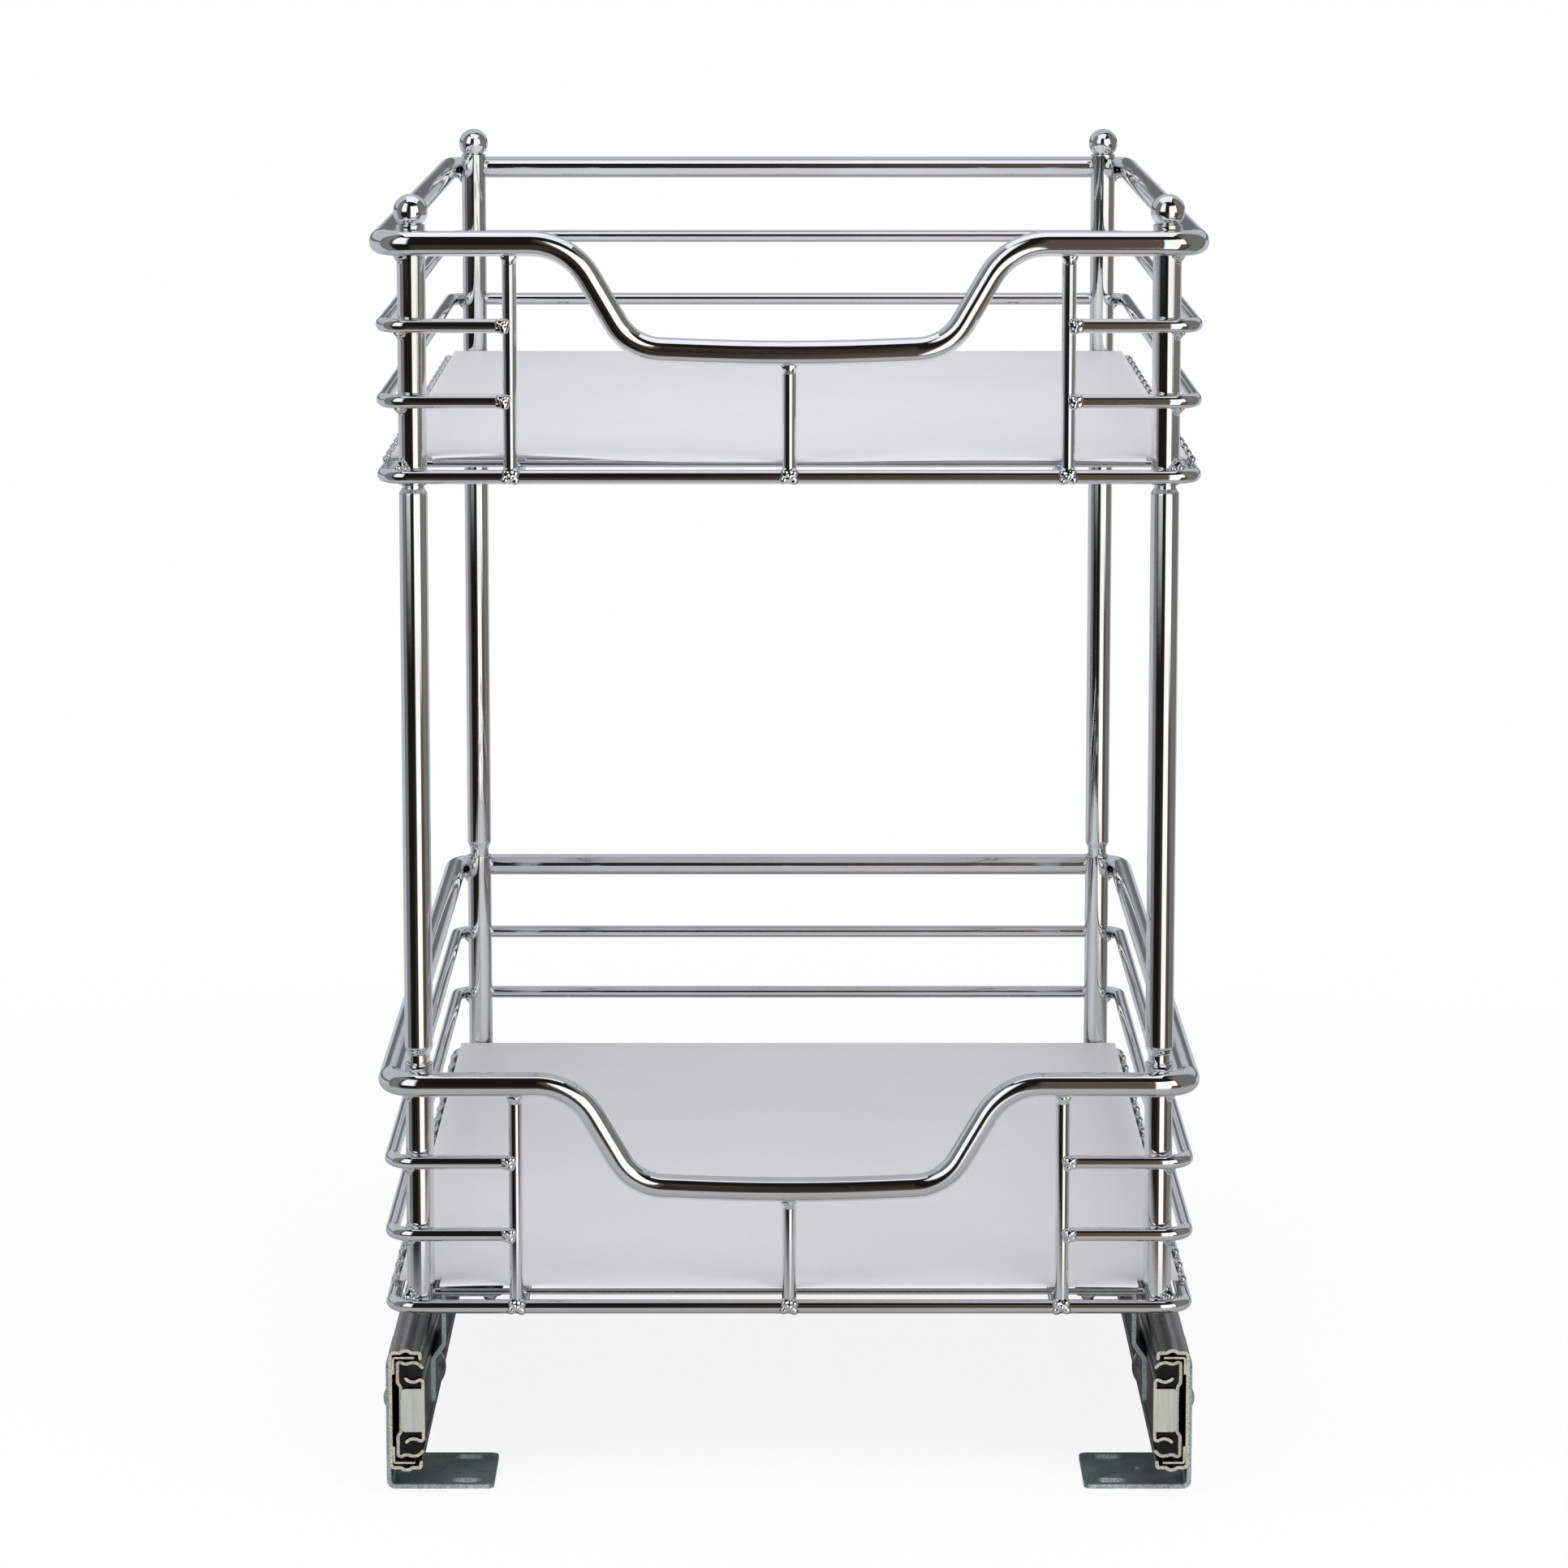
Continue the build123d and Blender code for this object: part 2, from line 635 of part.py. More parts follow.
def truss_screw():
    """Wide-headed screw that fixes a carrier bracket to the inner rail."""
    seat = slide_inner_x - carrier_t
    y = carrier_leg_mid_y
    shank = straight_rod((seat, y, slide_mid_z), (seat + truss_shank_out, y, slide_mid_z), truss_shank_d)
    return shank + dome(seat, y, slide_mid_z, -1, truss_head_d, truss_head_h)


def grid_screw(y):
    """Small screw up through the flange into the clamp strip above the floor wires."""
    seat = carrier_flange_z - carrier_t / 2
    tip = clamp_bottom() + clamp_t
    head = [(0, seat), (grid_head_d / 2, seat), (grid_head_d / 2 - 0.1, seat - grid_head_h / 2),
            (grid_head_d / 3, seat - grid_head_h), (0, seat - grid_head_h)]
    profile = Plane.XZ * make_face(Polyline(*head, close=True))
    shank = straight_rod((0, 0, seat), (0, 0, tip), grid_screw_d)
    return Pos(grid_screw_x, y, 0) * (revolve(profile, Axis.Z) + shank)


def clamp_bottom():
    """The clamp strips lie on the cross wires."""
    return lower_floor_top + weld_gap / 2


def clamp_strip():
    """Strip above the floor wires that the flange screws draw down."""
    places = grid_screw_places()
    length = places[-1] - places[0] + clamp_width
    middle = (places[0] + places[-1]) / 2
    bar = Pos(grid_screw_x, middle, clamp_bottom() + clamp_t / 2) * Box(clamp_width, length, clamp_t)
    for y in places:
        bar = bar - upright_hole(grid_screw_x, y, clamp_bottom())
    return bar


def at_corners(shape):
    """Copies a piece drawn at the front right to all four corners."""
    right = [shape, reflect(shape, Plane.XZ)]
    return right + [reflect(piece, Plane.YZ) for piece in right]


def group(pieces):
    """Separate solids kept together in one node."""
    return Compound(children=[solid for piece in pieces for solid in piece.solids()])


def build():
    """Every node of the organizer, by name."""
    nodes = {}
    for tier, z in tiers.items():
        nodes[f"{tier}_top_rail"] = top_rail(z + rail_rise)
        nodes[f"{tier}_bottom_rail"] = bottom_rail(z)
        for name, rise in zip(("low", "high"), side_wire_rises):
            nodes[f"{tier}_{name}_side_wire"] = side_wire(z + rise)
        nodes[f"{tier}_front_uprights"] = front_uprights(z)
        nodes[f"{tier}_floor_wires"] = floor_wires(z)
        nodes[f"{tier}_support_wires"] = support_wires(z)
        nodes[f"{tier}_corner_sockets"] = corner_sockets(z)
    nodes["lower_liner"] = liner(clamp_bottom() + clamp_t + liner_rest)
    nodes["upper_liner"] = liner(lower_floor_top + tier_pitch + liner_rest)
    for side, x_sign in sides.items():
        for end, y_sign in ends.items():
            nodes[f"{end}_{side}_long_tube"] = long_tube(x_sign * post_x, -y_sign * post_y)
            nodes[f"{end}_{side}_finial"] = ball_finial(x_sign * post_x, -y_sign * post_y)
            bracket = floor_bracket(pilot=x_sign == y_sign)
            carrier = carrier_bracket()
            if end == "rear":
                bracket, carrier = reflect(bracket, Plane.XZ), reflect(carrier, Plane.XZ)
            nodes[f"{end}_{side}_floor_bracket"] = on_side(side, bracket)
            nodes[f"{end}_{side}_carrier"] = on_side(side, carrier)
        nodes[f"{side}_outer_member"] = on_side(side, outer_member())
        nodes[f"{side}_intermediate_member"] = on_side(side, intermediate_member())
        nodes[f"{side}_inner_member"] = on_side(side, inner_member())
        nodes[f"{side}_bumper"] = on_side(side, bumper())
        nodes[f"{side}_outer_ball_strip"] = on_side(
            side, ball_strip(outer_cage_path(), outer_cage_t, outer_ball, outer_ball_d))
        nodes[f"{side}_inner_ball_strip"] = on_side(
            side, ball_strip(inner_cage_path(), inner_cage_t, inner_ball, inner_ball_d))
        nodes[f"{side}_outer_balls"] = on_side(side, balls(outer_ball, outer_ball_d))
        nodes[f"{side}_inner_balls"] = on_side(side, balls(inner_ball, inner_ball_d))
    nodes["bracket_rivets"] = group(
        [on_side(side, rivet(y)) for side in sides for y in rivet_places()])
    nodes["carrier_screws"] = group(at_corners(truss_screw()))
    nodes["grid_screws"] = group(
        [piece for y in grid_screw_places() for piece in at_corners(grid_screw(y))])
    nodes["grid_clamps"] = group(at_corners(clamp_strip()))
    return nodes


os.makedirs("parts", exist_ok=True)
for node, shape in build().items():
    export_step(shape, f"parts/{node}.step")
    print(node, len(shape.solids()), round(shape.volume, 1))
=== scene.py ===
# %% [markdown]
# A pull-out cabinet organizer: two chrome wire baskets on four corner posts, carried by a
# pair of ball-bearing drawer slides. The measured model comes in first as a fixed frame. It
# has every part at its real size, and nothing in it is moved here. The wires, posts and
# liners are then made again with finer curves, and the rolled steel parts keep their
# measured shapes and get better finishes.

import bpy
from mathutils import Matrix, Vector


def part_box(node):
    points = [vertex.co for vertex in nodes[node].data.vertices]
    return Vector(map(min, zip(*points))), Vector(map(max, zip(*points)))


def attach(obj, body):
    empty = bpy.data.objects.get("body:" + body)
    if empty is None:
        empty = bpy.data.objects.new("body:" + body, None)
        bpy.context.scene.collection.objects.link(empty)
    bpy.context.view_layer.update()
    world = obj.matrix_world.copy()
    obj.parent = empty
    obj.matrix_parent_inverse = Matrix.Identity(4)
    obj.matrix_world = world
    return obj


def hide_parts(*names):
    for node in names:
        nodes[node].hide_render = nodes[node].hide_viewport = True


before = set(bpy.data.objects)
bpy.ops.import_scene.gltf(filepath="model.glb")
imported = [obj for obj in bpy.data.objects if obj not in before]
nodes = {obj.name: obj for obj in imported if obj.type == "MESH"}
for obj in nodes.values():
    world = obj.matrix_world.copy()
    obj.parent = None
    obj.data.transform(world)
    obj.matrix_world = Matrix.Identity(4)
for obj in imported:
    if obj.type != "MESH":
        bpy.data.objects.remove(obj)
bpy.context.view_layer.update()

# %% Tools from Python and Blender
from math import atan2, ceil, copysign, cos, exp, pi, radians, sin, sqrt, tan

import bmesh
import bpy
from mathutils import Matrix, Vector

print("Blender", bpy.app.version_string)

# %% [markdown]
# Everything is in metres. The sizes of the wires are few, so each is named once. Heights are
# read from the measured model, because a wire's box is as thick as the wire, and its middle
# is the wire's own line. Heights typed in by hand would stay behind when the model changes.

# %% Sizes of the wires and posts
MM = 0.001
RAIL_R = 4.4 * MM
WIRE_R = 2.5 * MM
FLOOR_WIRE_R = 1.1 * MM
POST_R = 5.0 * MM
TIERS = ("lower", "upper")


def middle(node):
    """Middle of a node's box."""
    low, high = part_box(node)
    return (low + high) / 2


def half_size(node):
    """Half the size of a node's box."""
    low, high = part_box(node)
    return (high - low) / 2


rail_x, rail_y = [half_size("upper_top_rail")[axis] - RAIL_R for axis in (0, 1)]
wire_x, wire_y = [half_size("upper_bottom_rail")[axis] - WIRE_R for axis in (0, 1)]
post_x, post_y = [half_size("upper_corner_sockets")[axis] - POST_R for axis in (0, 1)]
floor_z = {tier: middle(f"{tier}_bottom_rail").z for tier in TIERS}
rail_z = {tier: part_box(f"{tier}_top_rail")[1].z - RAIL_R for tier in TIERS}
print("rails", rail_x, rail_y, rail_z, "posts", post_x, post_y)

# %% [markdown]
# A chrome wire is only as good as its reflections, and a reflection shows every facet. So
# each wire is built as rings of points along its bend line, close together in the bends and
# far apart on the straight runs. One more ring stands just before and after each bend. It
# keeps the shading of the bend from leaking into the straight run. A curve object with a
# round bevel would be quicker, but it gives no say over where the rings stand.

# %% Bend lines
BEND_STEP = radians(6)
LEAST_STEPS = 6
GUARD = 0.6 * MM


def bent_path(corners, radii, closed=False):
    """Points along straight runs and tangent arcs. radii has one value per corner."""
    path = []
    count = len(corners)
    for i, corner in enumerate(corners):
        if not closed and i in (0, count - 1):
            path.append(corner.copy())
            continue
        back = (corners[i - 1] - corner).normalized()
        ahead = (corners[(i + 1) % count] - corner).normalized()
        turn = pi - back.angle(ahead)
        reach = radii[i] * tan(turn / 2)
        centre = corner + (back + ahead).normalized() * radii[i] / cos(turn / 2)
        axis = (-back).cross(ahead).normalized()
        spoke = corner + back * reach - centre
        path.append(corner + back * (reach + GUARD))
        steps = max(LEAST_STEPS, ceil(turn / BEND_STEP))
        for k in range(steps + 1):
            path.append(centre + Matrix.Rotation(turn * k / steps, 3, axis) @ spoke)
        path.append(corner + ahead * (reach + GUARD))
    return path


def loop_corners(x, y, z):
    """Corners of a level rectangle, front left first, going round by the front."""
    return [Vector(p) for p in ((-x, -y, z), (x, -y, z), (x, y, z), (-x, y, z))]


WIRE_CORNER_R = 9 * MM
sample = bent_path(loop_corners(wire_x, wire_y, 0), 4 * [WIRE_CORNER_R], closed=True)
print("points in one bottom rail's line", len(sample))

# %% [markdown]
# A shape collects points and faces until a whole piece is ready, so that twenty-two wires
# can be one object. Joining finished objects would do the same, but it leaves doubled
# points. The first helper sets rings of points square to a line and joins them to a rod.

# %% Tubes


def new_shape():
    """An empty list of points and of faces."""
    return {"points": [], "faces": []}


def add_tube(shape, path, radius, sides, up=(0, 0, 1), closed=False):
    """A round rod along a path, with flat ends where the path is open."""
    up = Vector(up)
    start = len(shape["points"])
    count = len(path)
    for i, point in enumerate(path):
        last = path[i - 1] if closed or i else None
        after = path[(i + 1) % count] if closed or i < count - 1 else None
        heading = Vector()
        if last is not None:
            heading += (point - last).normalized()
        if after is not None:
            heading += (after - point).normalized()
        across = heading.cross(up).normalized()
        above = across.cross(heading).normalized()
        for k in range(sides):
            angle = 2 * pi * k / sides
            shape["points"].append(point + radius * (cos(angle) * across + sin(angle) * above))
    for i in range(count if closed else count - 1):
        for k in range(sides):
            ring, follow = start + i * sides, start + (i + 1) % count * sides
            shape["faces"].append(
                (ring + k, ring + (k + 1) % sides, follow + (k + 1) % sides, follow + k))
    if not closed:
        shape["faces"].append(tuple(range(start + sides - 1, start - 1, -1)))
        end = start + (count - 1) * sides
        shape["faces"].append(tuple(range(end, end + sides)))


print("helpers for rods ready")

# %% [markdown]
# A turned part, such as a post or a ball, is an outline swept round a vertical axis, as on a
# lathe. Blender's Screw modifier does this too. Here the rings are laid one by one, so that a
# tip on the axis is one point and not a ring of points on top of each other.

# %% Turned parts and copies


def add_turned(shape, outline, x, y, sides):
    """A closed outline of (radius, z) turned about a vertical axis. Radius 0 makes a tip."""
    rings = []
    for radius, z in outline:
        if radius == 0:
            rings.append([len(shape["points"])] * sides)
            shape["points"].append(Vector((x, y, z)))
            continue
        rings.append(list(range(len(shape["points"]), len(shape["points"]) + sides)))
        for k in range(sides):
            angle = 2 * pi * k / sides
            shape["points"].append(Vector((x + radius * cos(angle), y + radius * sin(angle), z)))
    closed = outline[0][0] != 0
    for i in range(len(rings) if closed else len(rings) - 1):
        low, high = rings[i], rings[(i + 1) % len(rings)]
        for k in range(sides):
            corners = [low[k], low[(k + 1) % sides], high[(k + 1) % sides], high[k]]
            face = list(dict.fromkeys(corners))
            if len(face) > 2:
                shape["faces"].append(tuple(face))


def add_copy(shape, lump, matrix):
    """A copy of a finished lump, placed by a matrix."""
    start = len(shape["points"])
    shape["points"] += [matrix @ point for point in lump["points"]]
    flip = matrix.determinant() < 0
    for face in lump["faces"]:
        moved = [start + i for i in face]
        shape["faces"].append(tuple(reversed(moved)) if flip else tuple(moved))


print("helpers for turned parts and copies ready")

# %% [markdown]
# A shape becomes a piece when it gets a mesh, a finish and a body to ride on. The body is
# what moves it when the baskets slide out. Shading is smooth except across real edges, which
# are told by their angle. A piece can also stand for a measured part, which is then hidden.

# %% Turn a shape into a piece that rides on the model
SHARP = radians(50)


def add_object(name, data):
    """A new object in the scene."""
    thing = bpy.data.objects.new(name, data)
    bpy.context.scene.collection.objects.link(thing)
    return thing


def make_piece(name, shape, finish, slot, *stands_for):
    """A mesh object that rides with the baskets, with its finish and the nodes it stands for."""
    mesh = bpy.data.meshes.new(name)
    mesh.from_pydata(shape["points"], [], shape["faces"])
    mesh.validate()
    mesh.shade_smooth()
    mesh.set_sharp_from_angle(angle=SHARP)
    mesh.materials.append(finish)
    piece = add_object(name, mesh)
    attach(piece, "carriage")
    if stands_for:
        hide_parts(*stands_for)
    print(name, len(mesh.vertices), "points")


print("edges sharper than", SHARP, "stay crisp")

# %% [markdown]
# Finishes come next. Each is a set of nodes round one Principled shader. Effects that more
# than one finish needs are made once as node groups, with named inputs and outputs, and each
# finish gives them its own values. Nodes can be laid out by hand in the editor too, but in a
# script a few short helpers make them quick to write and easy to read.

# %% Helpers for node groups


def new_group(name, inputs, outputs):
    """An empty node group. inputs are (name, kind, value) and outputs are (name, kind)."""
    group = bpy.data.node_groups.new(name, "ShaderNodeTree")
    for label, kind, value in inputs:
        socket = group.interface.new_socket(label, in_out="INPUT", socket_type="NodeSocket" + kind)
        socket.default_value = value
    for label, kind in outputs:
        group.interface.new_socket(label, in_out="OUTPUT", socket_type="NodeSocket" + kind)
    return group, group.nodes.new("NodeGroupInput"), group.nodes.new("NodeGroupOutput")


def add_node(tree, kind, values=None, links=None, **settings):
    """A node with settings, socket values and links from other nodes' outputs."""
    node = tree.nodes.new("ShaderNode" + kind)
    for key, value in settings.items():
        setattr(node, key, value)
    for key, value in (values or {}).items():
        node.inputs[key].default_value = value
    for key, source in (links or {}).items():
        tree.links.new(source, node.inputs[key])
    return node


def spread(tree, source, low, high, to_low=0.0, to_high=1.0, kind="LINEAR"):
    """A value mapped from one range to another, and held at its ends."""
    node = add_node(tree, "MapRange", {1: low, 2: high, 3: to_low, 4: to_high}, {0: source},
                    interpolation_type=kind)
    return node.outputs[0]


def maths(tree, operation, first, second=None):
    """One step of arithmetic on outputs or numbers."""
    node = add_node(tree, "Math", operation=operation)
    for i, value in enumerate((first, second)):
        if value is None:
            continue
        if isinstance(value, (int, float)):
            node.inputs[i].default_value = value
        else:
            tree.links.new(value, node.inputs[i])
    return node.outputs[0]


def blend_colour(tree, factor, first, second):
    """Mixes two colours or outputs by an output."""
    node = add_node(tree, "Mix", data_type="RGBA")
    tree.links.new(factor, node.inputs[0])
    for i, value in ((6, first), (7, second)):
        if isinstance(value, tuple):
            node.inputs[i].default_value = value
        else:
            tree.links.new(value, node.inputs[i])
    return node.outputs[2]


def grey(level, warm=0.0):
    """A grey colour. warm above 0 leans to yellow, below 0 to blue."""
    return (level * (1 + warm / 2), level, level * (1 - warm), 1.0)


print("helpers for nodes ready")

# %% [markdown]
# The first group is grain: a fine noise that varies the roughness a little and gives a
# height for a bump. Stretching the noise turns specks into lines, such as the marks of
# rolling or brushing. The noise is read in the object's own space, so it stays put when the
# baskets slide out.

# %% Grain group
GRAIN_BAND = (0.3, 0.7)


def stretched_place(group, entry):
    """The place on the object, stretched by the group's own input."""
    where = add_node(group, "TexCoord")
    stretched = add_node(group, "VectorMath", operation="MULTIPLY",
                         links={0: where.outputs["Object"], 1: entry.outputs["Stretch"]})
    return stretched.outputs[0]


grain_group, entry, leave = new_group(
    "Fine grain",
    [("Scale", "Float", 300.0), ("Stretch", "Vector", (1, 1, 1)), ("Low", "Float", 0.2),
     ("High", "Float", 0.4)],
    [("Roughness", "Float"), ("Height", "Float")])
coarse = add_node(grain_group, "TexNoise", {"Detail": 4.0, "Roughness": 0.6},
                  {"Vector": stretched_place(grain_group, entry),
                   "Scale": entry.outputs["Scale"]})
share = spread(grain_group, coarse.outputs["Fac"], *GRAIN_BAND)
rough = add_node(grain_group, "MapRange",
                 links={0: share, 3: entry.outputs["Low"], 4: entry.outputs["High"]})
grain_group.links.new(rough.outputs[0], leave.inputs["Roughness"])
grain_group.links.new(coarse.outputs["Fac"], leave.inputs["Height"])
print("grain group has", len(grain_group.nodes), "nodes")

# %% [markdown]
# The second group is a stain. Plating is never quite even, so two colours are mixed by a
# slow noise, and a third is added in small patches. On chrome the three are nearly the same.
# On zinc plating they are the faint straw, teal and rose of its thin film. On the liners the
# same mottle is painted light and shade.

# %% Stain and painted light group
PATCH_SHIFT = (3.1, 7.7, 5.3)
STAIN_AND_LIGHT_BAND = (0.35, 0.65)
PATCH_BAND = (0.5, 0.65)
stain_and_light_group, entry, leave = new_group(
    "Stain and painted light",
    [("Scale", "Float", 20.0), ("Stretch", "Vector", (1, 1, 1)), ("First", "Color", grey(0.8)),
     ("Second", "Color", grey(0.7)), ("Patch", "Color", grey(0.75)), ("Patches", "Float", 0.5)],
    [("Color", "Color")])
spot = stretched_place(stain_and_light_group, entry)
slow = add_node(stain_and_light_group, "TexNoise", {"Detail": 3.0, "Distortion": 0.4},
                {"Vector": spot, "Scale": entry.outputs["Scale"]})
shifted = add_node(stain_and_light_group, "VectorMath", {1: PATCH_SHIFT}, {0: spot}, operation="ADD")
patchy = add_node(stain_and_light_group, "TexNoise", {"Detail": 2.0, "Distortion": 1.0},
                  {"Vector": shifted.outputs[0], "Scale": entry.outputs["Scale"]})
first_mask = spread(stain_and_light_group, slow.outputs["Fac"], *STAIN_AND_LIGHT_BAND, kind="SMOOTHSTEP")
patch_mask = spread(stain_and_light_group, patchy.outputs["Fac"], *PATCH_BAND, kind="SMOOTHSTEP")
patch_share = maths(stain_and_light_group, "MULTIPLY", patch_mask, entry.outputs["Patches"])
two = blend_colour(stain_and_light_group, first_mask, entry.outputs["First"], entry.outputs["Second"])
three = blend_colour(stain_and_light_group, patch_share, two, entry.outputs["Patch"])
stain_and_light_group.links.new(three, leave.inputs["Color"])
print("stain group has", len(stain_and_light_group.nodes), "nodes")

# %% [markdown]
# The third group finds cut ends. A sheet that has been sheared across has a torn, pale
# edge, quite unlike its rolled face. On the slides and brackets those edges face forwards or
# backwards, so the surface's own direction is enough to find them. Painting a mask by hand
# would also work, but it would have to be done again after each change of shape.

# %% Cut edge group
CUT_BAND = (0.8, 0.95)
edge_group, entry, leave = new_group(
    "Cut edge", [("Axis", "Vector", (0, 1, 0)), ("Scale", "Float", 900.0)],
    [("Mask", "Float"), ("Height", "Float")])
facing = add_node(edge_group, "NewGeometry")
along = add_node(edge_group, "VectorMath", operation="DOT_PRODUCT",
                 links={0: facing.outputs["Normal"], 1: entry.outputs["Axis"]})
squareness = maths(edge_group, "ABSOLUTE", along.outputs["Value"])
where = add_node(edge_group, "TexCoord")
torn = add_node(edge_group, "TexNoise", {"Detail": 3.0},
                {"Vector": where.outputs["Object"], "Scale": entry.outputs["Scale"]})
edge_group.links.new(spread(edge_group, squareness, *CUT_BAND), leave.inputs["Mask"])
edge_group.links.new(torn.outputs["Fac"], leave.inputs["Height"])
print("cut edge group has", len(edge_group.nodes), "nodes")

# %% [markdown]
# Most finishes here follow one recipe: the stain gives the colour, and the grain gives the
# roughness and a very shallow bump. On the liners the stain is painted light and shade. So the
# recipe is a function, and each finish below is its numbers. Values that are the same all over
# go straight on the shader's sockets.

# %% Helpers for finishes


def new_finish(name, **values):
    """A material with one Principled shader, whose plain values are set on its sockets."""
    finish = bpy.data.materials.new(name)
    finish.use_nodes = True
    shader = finish.node_tree.nodes["Principled BSDF"]
    for key, value in values.items():
        shader.inputs[key.replace("_", " ")].default_value = value
    return finish, finish.node_tree, shader


def use_group(tree, group, **values):
    """A group node with its own values."""
    node = tree.nodes.new("ShaderNodeGroup")
    node.node_tree = group
    for key, value in values.items():
        node.inputs[key].default_value = value
    return node


def add_grain(tree, shader, depth, **values):
    """Roughness from the grain and, unless depth is 0, a bump of that depth in metres."""
    grain = use_group(tree, grain_group, **values)
    tree.links.new(grain.outputs["Roughness"], shader.inputs["Roughness"])
    if depth:
        node = add_node(tree, "Bump", {"Strength": 1.0, "Distance": depth},
                        {"Height": grain.outputs["Height"]})
        tree.links.new(node.outputs["Normal"], shader.inputs["Normal"])


def plain_finish(name, stain, grain, depth, **values):
    """A finish of stain and grain alone."""
    finish, tree, shader = new_finish(name, **values)
    colour = use_group(tree, stain_and_light_group, **stain).outputs["Color"]
    tree.links.new(colour, shader.inputs["Base Color"])
    add_grain(tree, shader, depth, **grain)
    print(name, "has", len(tree.nodes), "nodes")
    return finish


# %% [markdown]
# Chrome plate is a mirror with a trace of unevenness from the steel wire under it. A slow
# height bends the reflections a little along each wire, and the roughness varies by a few
# hundredths. Too much of either makes it look like tin.

# %% Chrome
chrome = plain_finish(
    "chrome_wire",
    stain={"Scale": 14.0, "First": grey(0.80, -0.02), "Second": grey(0.74, -0.01),
           "Patch": grey(0.78, 0.01), "Patches": 0.4},
    grain={"Scale": 120.0, "Low": 0.02, "High": 0.055},
    depth=0.012 * MM, Metallic=1.0)

# %% [markdown]
# The slides are rolled from zinc-plated strip. Rolling leaves faint lines along the slide,
# and the plating is a warm, dull grey. The cut front ends are the speckled cream of bare
# metal. Only the flat tab on the front of each inner section is greyer, with brushed lines,
# so a second mask keeps the cream off it. The tab is found by its place: it is the part of
# the cut ends that lies nearest the middle of the organizer and of the slide's height.

# %% Masks for the ends of the slides
TAB_X = 138.2 * MM
TAB_HALF = 7.9 * MM
TAB_SOFT = 0.1 * MM
SLIDE_Z = middle("left_inner_member").z
EDGE_SCALE = 1400.0
zinc, tree, shader = new_finish("zinc_slide")
edge = use_group(tree, edge_group, Axis=(0, 1, 0), Scale=EDGE_SCALE)
place_on = add_node(tree, "SeparateXYZ", links={0: add_node(tree, "TexCoord").outputs["Object"]})
beside = spread(tree, maths(tree, "ABSOLUTE", place_on.outputs["X"]), TAB_X, TAB_X + TAB_SOFT)
away = maths(tree, "ABSOLUTE", maths(tree, "SUBTRACT", place_on.outputs["Z"], SLIDE_Z))
off_tab = maths(tree, "MAXIMUM", beside, spread(tree, away, TAB_HALF, TAB_HALF + TAB_SOFT))
torn = maths(tree, "MULTIPLY", edge.outputs["Mask"], off_tab)
rubbed = maths(tree, "SUBTRACT", edge.outputs["Mask"], torn)
print("tab of the slide at x", TAB_X, "z", SLIDE_Z)

# %% Zinc-plated strip
EDGE_METAL = 0.3
CREAM_BAND = (0.38, 0.60)
stain = use_group(tree, stain_and_light_group, Scale=30.0, Stretch=(1.0, 0.2, 1.0),
                  First=(0.39, 0.37, 0.36, 1), Second=(0.29, 0.285, 0.265, 1),
                  Patch=(0.39, 0.32, 0.33, 1), Patches=0.6)
brushed = use_group(tree, grain_group, Scale=1100.0, Stretch=(1.0, 1.0, 0.05), Low=0.0, High=1.0)
tab_grey = blend_colour(tree, brushed.outputs["Roughness"], (0.43, 0.45, 0.40, 1),
                        (0.57, 0.58, 0.52, 1))
faces = blend_colour(tree, rubbed, stain.outputs["Color"], tab_grey)
speckle = spread(tree, edge.outputs["Height"], *CREAM_BAND)
cream = blend_colour(tree, speckle, (0.34, 0.33, 0.25, 1), (0.66, 0.65, 0.54, 1))
colour = blend_colour(tree, torn, faces, cream)
tree.links.new(colour, shader.inputs["Base Color"])
add_grain(tree, shader, 0.01 * MM, Scale=900.0, Stretch=(1.0, 0.02, 1.0), Low=0.25, High=0.42)
metal = spread(tree, edge.outputs["Mask"], 0.0, 1.0, 1.0, EDGE_METAL)
tree.links.new(metal, shader.inputs["Metallic"])
print(zinc.name, "has", len(tree.nodes), "nodes")

# %% [markdown]
# The brackets are pressed from plated sheet that is duller and bluer. Their film shows pale
# teal, dark green and a little rose in small blotches, and the sheared edges are speckled.
# The broad faces are a little less than metallic, because the film dulls them.

# %% Plated brackets
BRACKET_METAL = 0.75
SHEARED_BAND = (0.38, 0.62)
bracket_finish, tree, shader = new_finish("plated_bracket")
stain = use_group(tree, stain_and_light_group, Scale=85.0, First=(0.35, 0.44, 0.46, 1),
                  Second=(0.20, 0.30, 0.29, 1), Patch=(0.41, 0.35, 0.33, 1), Patches=0.6)
edge = use_group(tree, edge_group, Axis=(0, 1, 0), Scale=EDGE_SCALE)
speckle = spread(tree, edge.outputs["Height"], *SHEARED_BAND)
sheared = blend_colour(tree, speckle, (0.28, 0.34, 0.33, 1), (0.52, 0.60, 0.59, 1))
colour = blend_colour(tree, edge.outputs["Mask"], stain.outputs["Color"], sheared)
tree.links.new(colour, shader.inputs["Base Color"])
add_grain(tree, shader, 0.02 * MM, Scale=1800.0, Low=0.22, High=0.42)
metal = spread(tree, edge.outputs["Mask"], 0.0, 1.0, BRACKET_METAL, EDGE_METAL)
tree.links.new(metal, shader.inputs["Metallic"])
print(bracket_finish.name, "has", len(tree.nodes), "nodes")

# %% [markdown]
# Rivets and screws are zinc plated in a barrel, where they rub against each other. So they
# are brighter than the brackets and more even, with a trace of straw in the film.

# %% Plated fasteners
fastener = plain_finish(
    "plated_fastener",
    stain={"Scale": 160.0, "First": (0.52, 0.56, 0.57, 1), "Second": (0.45, 0.46, 0.46, 1),
           "Patch": (0.55, 0.54, 0.44, 1), "Patches": 0.6},
    grain={"Scale": 1500.0, "Low": 0.16, "High": 0.30},
    depth=0.01 * MM, Metallic=1.0)

